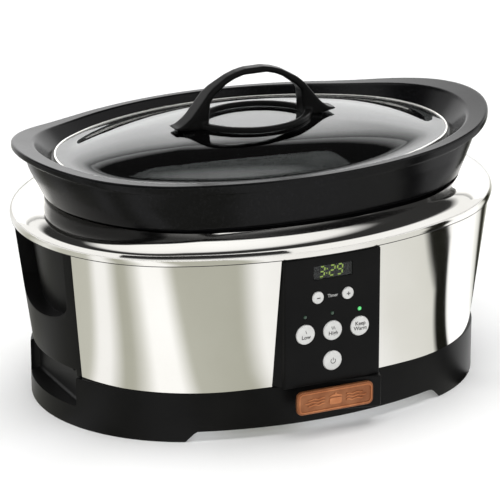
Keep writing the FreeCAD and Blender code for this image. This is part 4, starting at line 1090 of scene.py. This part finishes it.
def badge():
    """A copper plate with a raised border and a generic lidded-pot ornament."""
    front, back, middle = low("badge", Y), high("badge", Y), BADGE_MIDDLE
    raised, sunk = front + 0.05, front + 0.8
    plate = prism("badge_plate", rounded_box_outline(33.0, 9.5, 4.5, (0.0, middle)), "Y", front + 0.6, back)
    bevelled(plate, 0.5, 3, 60)
    outer = rounded_box_outline(31.6, 8.1, 3.6, (0.0, middle))
    inner = rounded_box_outline(30.6, 7.1, 2.8, (0.0, middle))
    section = ((0, 0.75), (0, 0.15), (0.3, 0.0), (0.7, 0.0), (1, 0.15), (1, 0.75), (0, 0.75))
    rings = [[Vector((x, front + behind, z)) for x, z in (mixed(a, b, share) for a, b in zip(outer, inner))]
             for share, behind in section]
    parts = [lofted("border", rings)]
    parts.append(prism("pot", rounded_box_outline(5.2, 2.7, 1.6, (0.0, middle - 1.5)), "Y", raised, sunk))
    lid = [(-5.8, 1.8)] + [(5.8 * math.cos(math.radians(180 - a)), 1.8 + 2.2 * math.sin(math.radians(a)))
                           for a in range(20, 161, 20)] + [(5.8, 1.8)]
    parts.append(prism("pot_lid", [(x, middle + z) for x, z in lid], "Y", raised, sunk))
    knob = rounded_box_outline(0.9, 0.6, 0.4, (0.0, middle + 4.7), 3)
    parts.append(prism("pot_knob", knob, "Y", raised, sunk))
    for side in (1, -1):
        for i, z in enumerate((2.4, 0.0, -2.4)):
            length = (15.0, 18.0, 15.0)[i]
            points = [(side * (9.0 + length * t / 12), middle + z + 0.5 * math.sin(t / 12 * 4 * math.pi))
                      for t in range(13)]
            parts.append(bent_strip(points, 0.9, front + 0.1, 0.7))
    finished(smooth(merged("badge_relief", parts), 35), COPPER)
    # The plate is the sunken ground and takes the darker copper: painted shade round the relief.
    return finished(smooth(plate, 35), COPPER_SHADED_GROUND, nodes=["badge"])


# ---------------------------------------------------------------- crock and lid

def crock():
    """The stoneware pot in one glazed wall: tapered bowl, shoulder, swept rim and the ledge for the lid."""
    rest = LIP_TOP + 0.3
    rim_top = rest + 37.2
    foot = (140.5, 96.5, 8.0)
    ledge = shrunk(LID, -1.6)
    floor = CROCK_FOOT + 9.0
    corners = [
        ((90.0, 46.0, 8.0, CROCK_FOOT, 0.0), 0), ((*foot, CROCK_FOOT, 0.0), 12.0),
        ((162.6, 117.7, 6.7, rest - 0.1, 0.0), 1.5), ((173.5, 121.0, 11.0, rest + 0.1, 0.0), 3.0),
        ((187.2, 123.0, 23.0, rest + 27.0, 0.0), 7.0), ((188.6, 123.2, 24.0, rim_top - 7.9, 13.2), 2.5),
        ((200.0, 124.0, 29.0, rim_top - 7.5, 13.2), 2.6), ((200.0, 124.0, 29.0, rim_top, 10.8), 2.6),
        ((181.6, 117.9, 27.6, rim_top, 10.8), 2.2), ((*ledge, LID_FOOT - 0.3, 0.0), 1.6),
        ((*shrunk(ledge, 6.3), LID_FOOT - 0.3, 0.0), 2.5), ((*shrunk(foot, 8.0), floor, 0.0), 16.0),
        ((80.0, 36.0, 8.0, floor, 0.0), 0)]
    piece = oval_wall("stoneware_crock", softened(corners, 6), 56, 64, start="flat", stop="flat")
    return finished(smooth(piece, 60), GLAZE, "crock", ["crock"])


def lid_band():
    """The steel edge of the lid."""
    inner, middle, foot, top = shrunk(LID, 2.0), shrunk(LID, 1.0), LID_FOOT, LID_TOP
    corners = [((*middle, foot, 0.0), 0), ((*LID, foot, 0.0), 0.9), ((*LID, top, 0.0), 1.3),
               ((*inner, top, 0.0), 0.8), ((*inner, foot, 0.0), 0.6), ((*middle, foot, 0.0), 0)]
    piece = oval_wall("lid_band", softened(corners, 4), *FINE)
    return finished(smooth(piece, 60), STEEL, "lid", ["lid_rim"])


def dome_rise(share):
    """Height of the dome above its edge, level at the middle and easing out into the flange."""
    return DOME_HEIGHT * (1 - share ** DOME_POWER)


def dome_pane():
    """The domed glass: both faces and the edge in one closed shell."""
    shares = [0.02, 0.08, 0.16, 0.25, 0.35, 0.45, 0.55, 0.65, 0.74, 0.82, 0.88, 0.92]
    edge = shrunk(LID, GLASS_INSET)

    def face(height, grow):
        oval = shrunk(DOME, grow)
        levels = [(*(v * s for v in oval), height + dome_rise(s), 0.0) for s in shares]
        bend = [(levels[-1], 0), ((*oval, height + 0.3, 0.0), 9.0), ((*edge, height, 0.0), 0)]
        return levels[:-1] + softened(bend, 8)
    top = face(GLASS_TOP, 0.0)
    bottom = face(GLASS_TOP - GLASS_THICKNESS, 1.6)
    piece = oval_wall("lid_pane", bottom + top[::-1], 48, 56, start="point", stop="point")
    return finished(smooth(piece, 60), GLASS, "lid", ["lid_glass"])


def dome_at(x, y):
    """Height of the glass under a point."""
    reach = math.hypot(x, y)

    def inside(share):
        oval = tuple(v * max(share, 1e-4) for v in DOME)
        return oval_at(oval, oval_angle_towards(oval, x, y)).length < reach
    return GLASS_TOP + dome_rise(min(halved(inside, 0.0, 1.2, 24), 1.0))


def oval_angle_towards(oval, x, y):
    """The normal angle of the oval's point in the direction of (x, y)."""
    wanted = math.atan2(abs(y), abs(x))

    def below(angle):
        point = oval_at(oval, angle)
        return math.atan2(point.y, point.x) < wanted
    return halved(below, 0.0, math.pi / 2, 24)


def arch_profile():
    """The handle seen from the front: over the crown and out to the tips, then back under the arch."""
    crown = high("lid_handle", Z)
    radius, knee, tip = 60.9, 51.0, 73.0
    upper = [(x, crown - radius + math.sqrt(radius ** 2 - x ** 2))
             for x in (0, 8, 16, 24, 31, 37, 42.5, 47, knee)]
    knee_z = upper[-1][1]
    tip_z = dome_at(tip, 0.0) + 3.3
    flare = [(knee + (tip - knee) * t, tip_z + (knee_z - tip_z) * (1 - t) ** 2.15) for t in
             (0.14, 0.28, 0.42, 0.56, 0.7, 0.85, 1.0)]
    right = upper + flare + [(tip, dome_at(tip, 0.0) - 2.0), (42.0, dome_at(42.0, 0.0) - 4.0)]
    inner_radius, inner_crown = 51.2, crown - 4.6
    under = [(x, inner_crown - inner_radius + math.sqrt(inner_radius ** 2 - x ** 2))
             for x in (42.0, 40, 36, 31, 25, 18, 10, 0)]
    half = right + under
    return half + [(-x, z) for x, z in reversed(half) if x > 0]


def arch_width(x):
    """Half the strap's width: narrow at the crown, wider at the legs, blunt at the tips."""
    share = min(max((abs(x) - 22.0) / 30.0, 0.0), 1.0)
    return 5.0 + 3.0 * share * share * (3 - 2 * share)


def remeshed(obj, size):
    """Rebuilds the surface on a grid of that size, so that pieces join in one skin."""
    return finish_with(obj, "REMESH", mode="VOXEL", voxel_size=size * MM)


def lid_handle():
    """The moulded handle: an arched strap whose legs run out into an eye-shaped ring on the glass."""
    outline = arch_profile()
    rings = [[Vector((x, side * arch_width(x), z)) for x, z in outline] for side in (-1, 1)]
    strap = lofted("strap", rings, start="flat", stop="flat")
    edit_all(strap, lambda: bpy.ops.mesh.quads_convert_to_tris())
    half, rise, rail, end_rail = 52.0, 37.0, 4.5, 7.2
    top, sunk, steps = 4.4, -2.0, 48

    def eye(long, wide, x_share):
        radius = (long ** 2 + wide ** 2) / (2 * wide)
        reach = math.asin(long / radius)
        a = -reach + 2 * reach * x_share
        return radius * math.sin(a), radius * math.cos(a) - (radius - wide)
    rings = []
    for level in range(4):
        long, wide = (half, rise) if level in (0, 1) else (half - end_rail, rise - rail)
        lift = top if level in (1, 2) else sunk
        ring = []
        for turn in (1, -1):
            for i in range(steps):
                x, y = eye(long, wide, i / steps if turn == 1 else 1 - i / steps)
                ring.append(Vector((x, turn * y, dome_at(x, y) + lift)))
        rings.append(ring)
    rails = lofted("rails", rings + [rings[0]])
    combined(remeshed(strap, 0.9), remeshed(rails, 0.9), "UNION")
    remeshed(strap, 0.8)
    finish_with(strap, "SMOOTH", factor=0.5, iterations=9)
    trim_to_glass(strap)
    return finished(smooth(strap, 60), HANDLE_PLASTIC, "lid", ["lid_handle"])


def trim_to_glass(piece):
    """Lays the underside on the glass, a hair above it."""
    for vertex in piece.data.vertices:
        x, y, z = vertex.co / MM
        seat = dome_at(x, y) + FIT
        if z < seat:
            vertex.co.z = seat * MM


# ---------------------------------------------------------------- put together

base_body()
feet()
gland()
wrap_piece("front_skin", True, "front_wrap")
wrap_piece("rear_skin", False, "rear_wrap")
collar()
side_handle("left_grip", -1, "left_handle")
side_handle("right_grip", 1, "right_handle")
heating_well()
panel_case()
fascia()
display_parts()
lamp_lenses()
buttons()
badge()
crock()
lid_band()
dome_pane()
lid_handle()

KEPT = {"base_plate": ZINC, "base_screws": ZINC, "tie_bolt": ZINC, "tie_washer": ZINC, "tie_nut": ZINC,
        "lid_screws": ZINC, "temperature_sensor": ALUMINIUM, "heater_band": TAPE, "control_board": BOARD,
        "display_module": DARK, "power_relay": DARK, "supply_capacitor": DARK, "button_switches": DARK,
        "lid_washers": SOFT}
for node, material in KEPT.items():
    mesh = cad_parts[node].data
    mesh.materials.clear()
    mesh.materials.append(material)


# ---------------------------------------------------------------- floor, light and camera

CAMERA_AZIMUTH, CAMERA_ELEVATION, CAMERA_DISTANCE = math.radians(-25.47), math.radians(19.48), 2.8745
CAMERA_AIM, CAMERA_LENS = (-0.00219, 0.00104, 0.10558), 256.6


def floor():
    """A pale sweep of floor, wide enough to fill the view."""
    f = Finish("studio_floor")
    dust = f.noise(3.0, 3.0)
    shade = f.ramp(dust, (0.3, (0.86, 0.86, 0.86)), (0.8, (0.89, 0.89, 0.885)))
    white = f.surface(base_color=shade, roughness=0.85)
    deselect()
    bpy.ops.mesh.primitive_grid_add(x_subdivisions=8, y_subdivisions=8, size=24)
    plane = bpy.context.object
    plane.name = "studio_floor"
    plane.data.materials.append(white)


# The cards that lie round the cooker, just outside its foot: how bright each is, by its bearing in degrees.
CARDS = [(-180, 0.60), (-172, 0.62), (-167, 1.1), (-162, 1.1), (-155, 0.50), (-151, 0.50), (-146, 0.80),
         (-141, 1.2), (-131, 1.2), (-123, 0.55), (-102, 0.50), (-96, 1.1), (-62, 1.0), (-53, 0.88),
         (-36, 0.80), (-34.5, 0.01), (-26.5, 0.01), (-25, 1.3), (0, 1.3), (9, 0.8), (13, 0.03), (20, 0.03),
         (30, 0.6), (55, 1.0), (85, 0.55), (115, 1.0), (140, 0.5), (160, 0.9), (172, 0.6), (180, 0.60)]


def linked(name, data):
    """A new object in the scene."""
    obj = bpy.data.objects.new(name, data)
    bpy.context.scene.collection.objects.link(obj)
    return obj


def glowing(finish, colour):
    """A surface that only gives light."""
    return finish.surface(base_color=(0, 0, 0, 1), roughness=1.0, specular_ior_level=0.0,
                          emission_color=colour, emission_strength=1.0)


def show_only_in_reflections(obj):
    obj.visible_camera = obj.visible_diffuse = obj.visible_shadow = obj.visible_transmission = False


def reflector_ring():
    """Light and dark studio cards laid flat round the object. The darker a card, the warmer its tone."""
    f = Finish("reflector_cards")
    bearing = f.node("ShaderNodeTexGradient", {"gradient_type": "RADIAL"}, {"Vector": f.place})
    stops = [((angle + 180) / 360, (tone, tone, tone * (1 - 0.27 * max(1 - tone, 0.0))))
             for angle, tone in CARDS]
    cards = glowing(f, f.ramp(bearing, *stops))
    deselect()
    bpy.ops.mesh.primitive_circle_add(vertices=96, radius=1.6, fill_type="NGON", location=(0, 0, 0.0004))
    ring = settle(bpy.context.object)
    ring.name = "reflector_cards"
    ring.data.materials.append(cards)
    show_only_in_reflections(ring)


def backdrop_cards():
    """A bright card beyond the object and a dark one between it and the camera."""
    ahead = Vector((-math.sin(CAMERA_AZIMUTH), math.cos(CAMERA_AZIMUTH), 0))
    across = Vector((ahead.y, -ahead.x, 0))
    bright = ((0.0, 1.0), (0.2, 1.7), (0.6, 2.2), (0.82, 1.7), (1.0, 0.25))
    dark = ((0.0, 0.6), (0.2, 0.03), (1.0, 0.02))
    for name, distance, half_width, foot, top, tones in (("bright_card", 2.2, 2.6, 0.02, 1.75, bright),
                                                         ("dark_card", -2.2, 1.6, 0.25, 1.5, dark)):
        f = Finish(name)
        height = f.node("ShaderNodeSeparateXYZ", None, {"Vector": f.place}, output=2)
        colour = f.ramp((height - foot) * (1 / (top - foot)), *[(at, (tone,) * 3) for at, tone in tones])
        corners = [ahead * distance + across * reach + Vector((0, 0, z)) for reach, z in
                   ((-half_width, foot), (half_width, foot), (half_width, top), (-half_width, top))]
        mesh = bpy.data.meshes.new(name)
        mesh.from_pydata(corners, [], [(0, 1, 2, 3)])
        mesh.materials.append(glowing(f, colour))
        card = linked(name, mesh)
        show_only_in_reflections(card)


def studio_world():
    """A white surround at eye level, a dark gap above it, and a broad light overhead."""
    world = bpy.data.worlds.new("studio")
    bpy.context.scene.world = world
    world.use_nodes = True
    tree = world.node_tree
    tree.nodes.clear()
    place = tree.nodes.new("ShaderNodeTexCoord")
    split = tree.nodes.new("ShaderNodeSeparateXYZ")
    ramp = tree.nodes.new("ShaderNodeValToRGB")
    background = tree.nodes.new("ShaderNodeBackground")
    output = tree.nodes.new("ShaderNodeOutputWorld")
    tree.links.new(place.outputs["Generated"], split.inputs["Vector"])
    tree.links.new(split.outputs["Z"], ramp.inputs["Fac"])
    tree.links.new(ramp.outputs["Color"], background.inputs["Color"])
    tree.links.new(background.outputs["Background"], output.inputs["Surface"])
    tones = ((0.0, 1.0), (0.56, 1.0), (0.62, 0.03), (0.83, 0.03), (0.89, 0.95), (1.0, 1.1))
    set_stops(ramp.color_ramp, [(at, (tone,) * 3) for at, tone in tones])
    background.inputs["Strength"].default_value = 1.1


def softbox(name, place, aim, width, height, power):
    """A broad lamp that polished surfaces do not show."""
    lamp = bpy.data.lights.new(name, "AREA")
    lamp.shape = "RECTANGLE"
    lamp.size, lamp.size_y = width, height
    lamp.energy = power
    obj = linked(name, lamp)
    obj.location = place
    obj.rotation_euler = (Vector(aim) - Vector(place)).to_track_quat("-Z", "Y").to_euler()
    obj.visible_glossy = obj.visible_camera = False


def camera():
    level = math.cos(CAMERA_ELEVATION)
    back = Vector((math.sin(CAMERA_AZIMUTH) * level, -math.cos(CAMERA_AZIMUTH) * level,
                   math.sin(CAMERA_ELEVATION)))
    data = bpy.data.cameras.new("camera")
    data.sensor_width = 36.0
    data.lens = CAMERA_LENS
    data.clip_end = 200.0
    obj = linked("camera", data)
    obj.location = Vector(CAMERA_AIM) + back * CAMERA_DISTANCE
    obj.rotation_euler = back.to_track_quat("Z", "Y").to_euler()
    bpy.context.scene.camera = obj


floor()
reflector_ring()
backdrop_cards()
studio_world()
softbox("overhead", (0.0, 0.0, 3.0), (0, 0, 0), 4.0, 4.0, 85.0)
softbox("front_fill", (-1.2, -3.0, 1.6), (0, 0, 0.1), 2.0, 1.6, 22.0)
bpy.context.scene.view_settings.view_transform = "Standard"
camera()
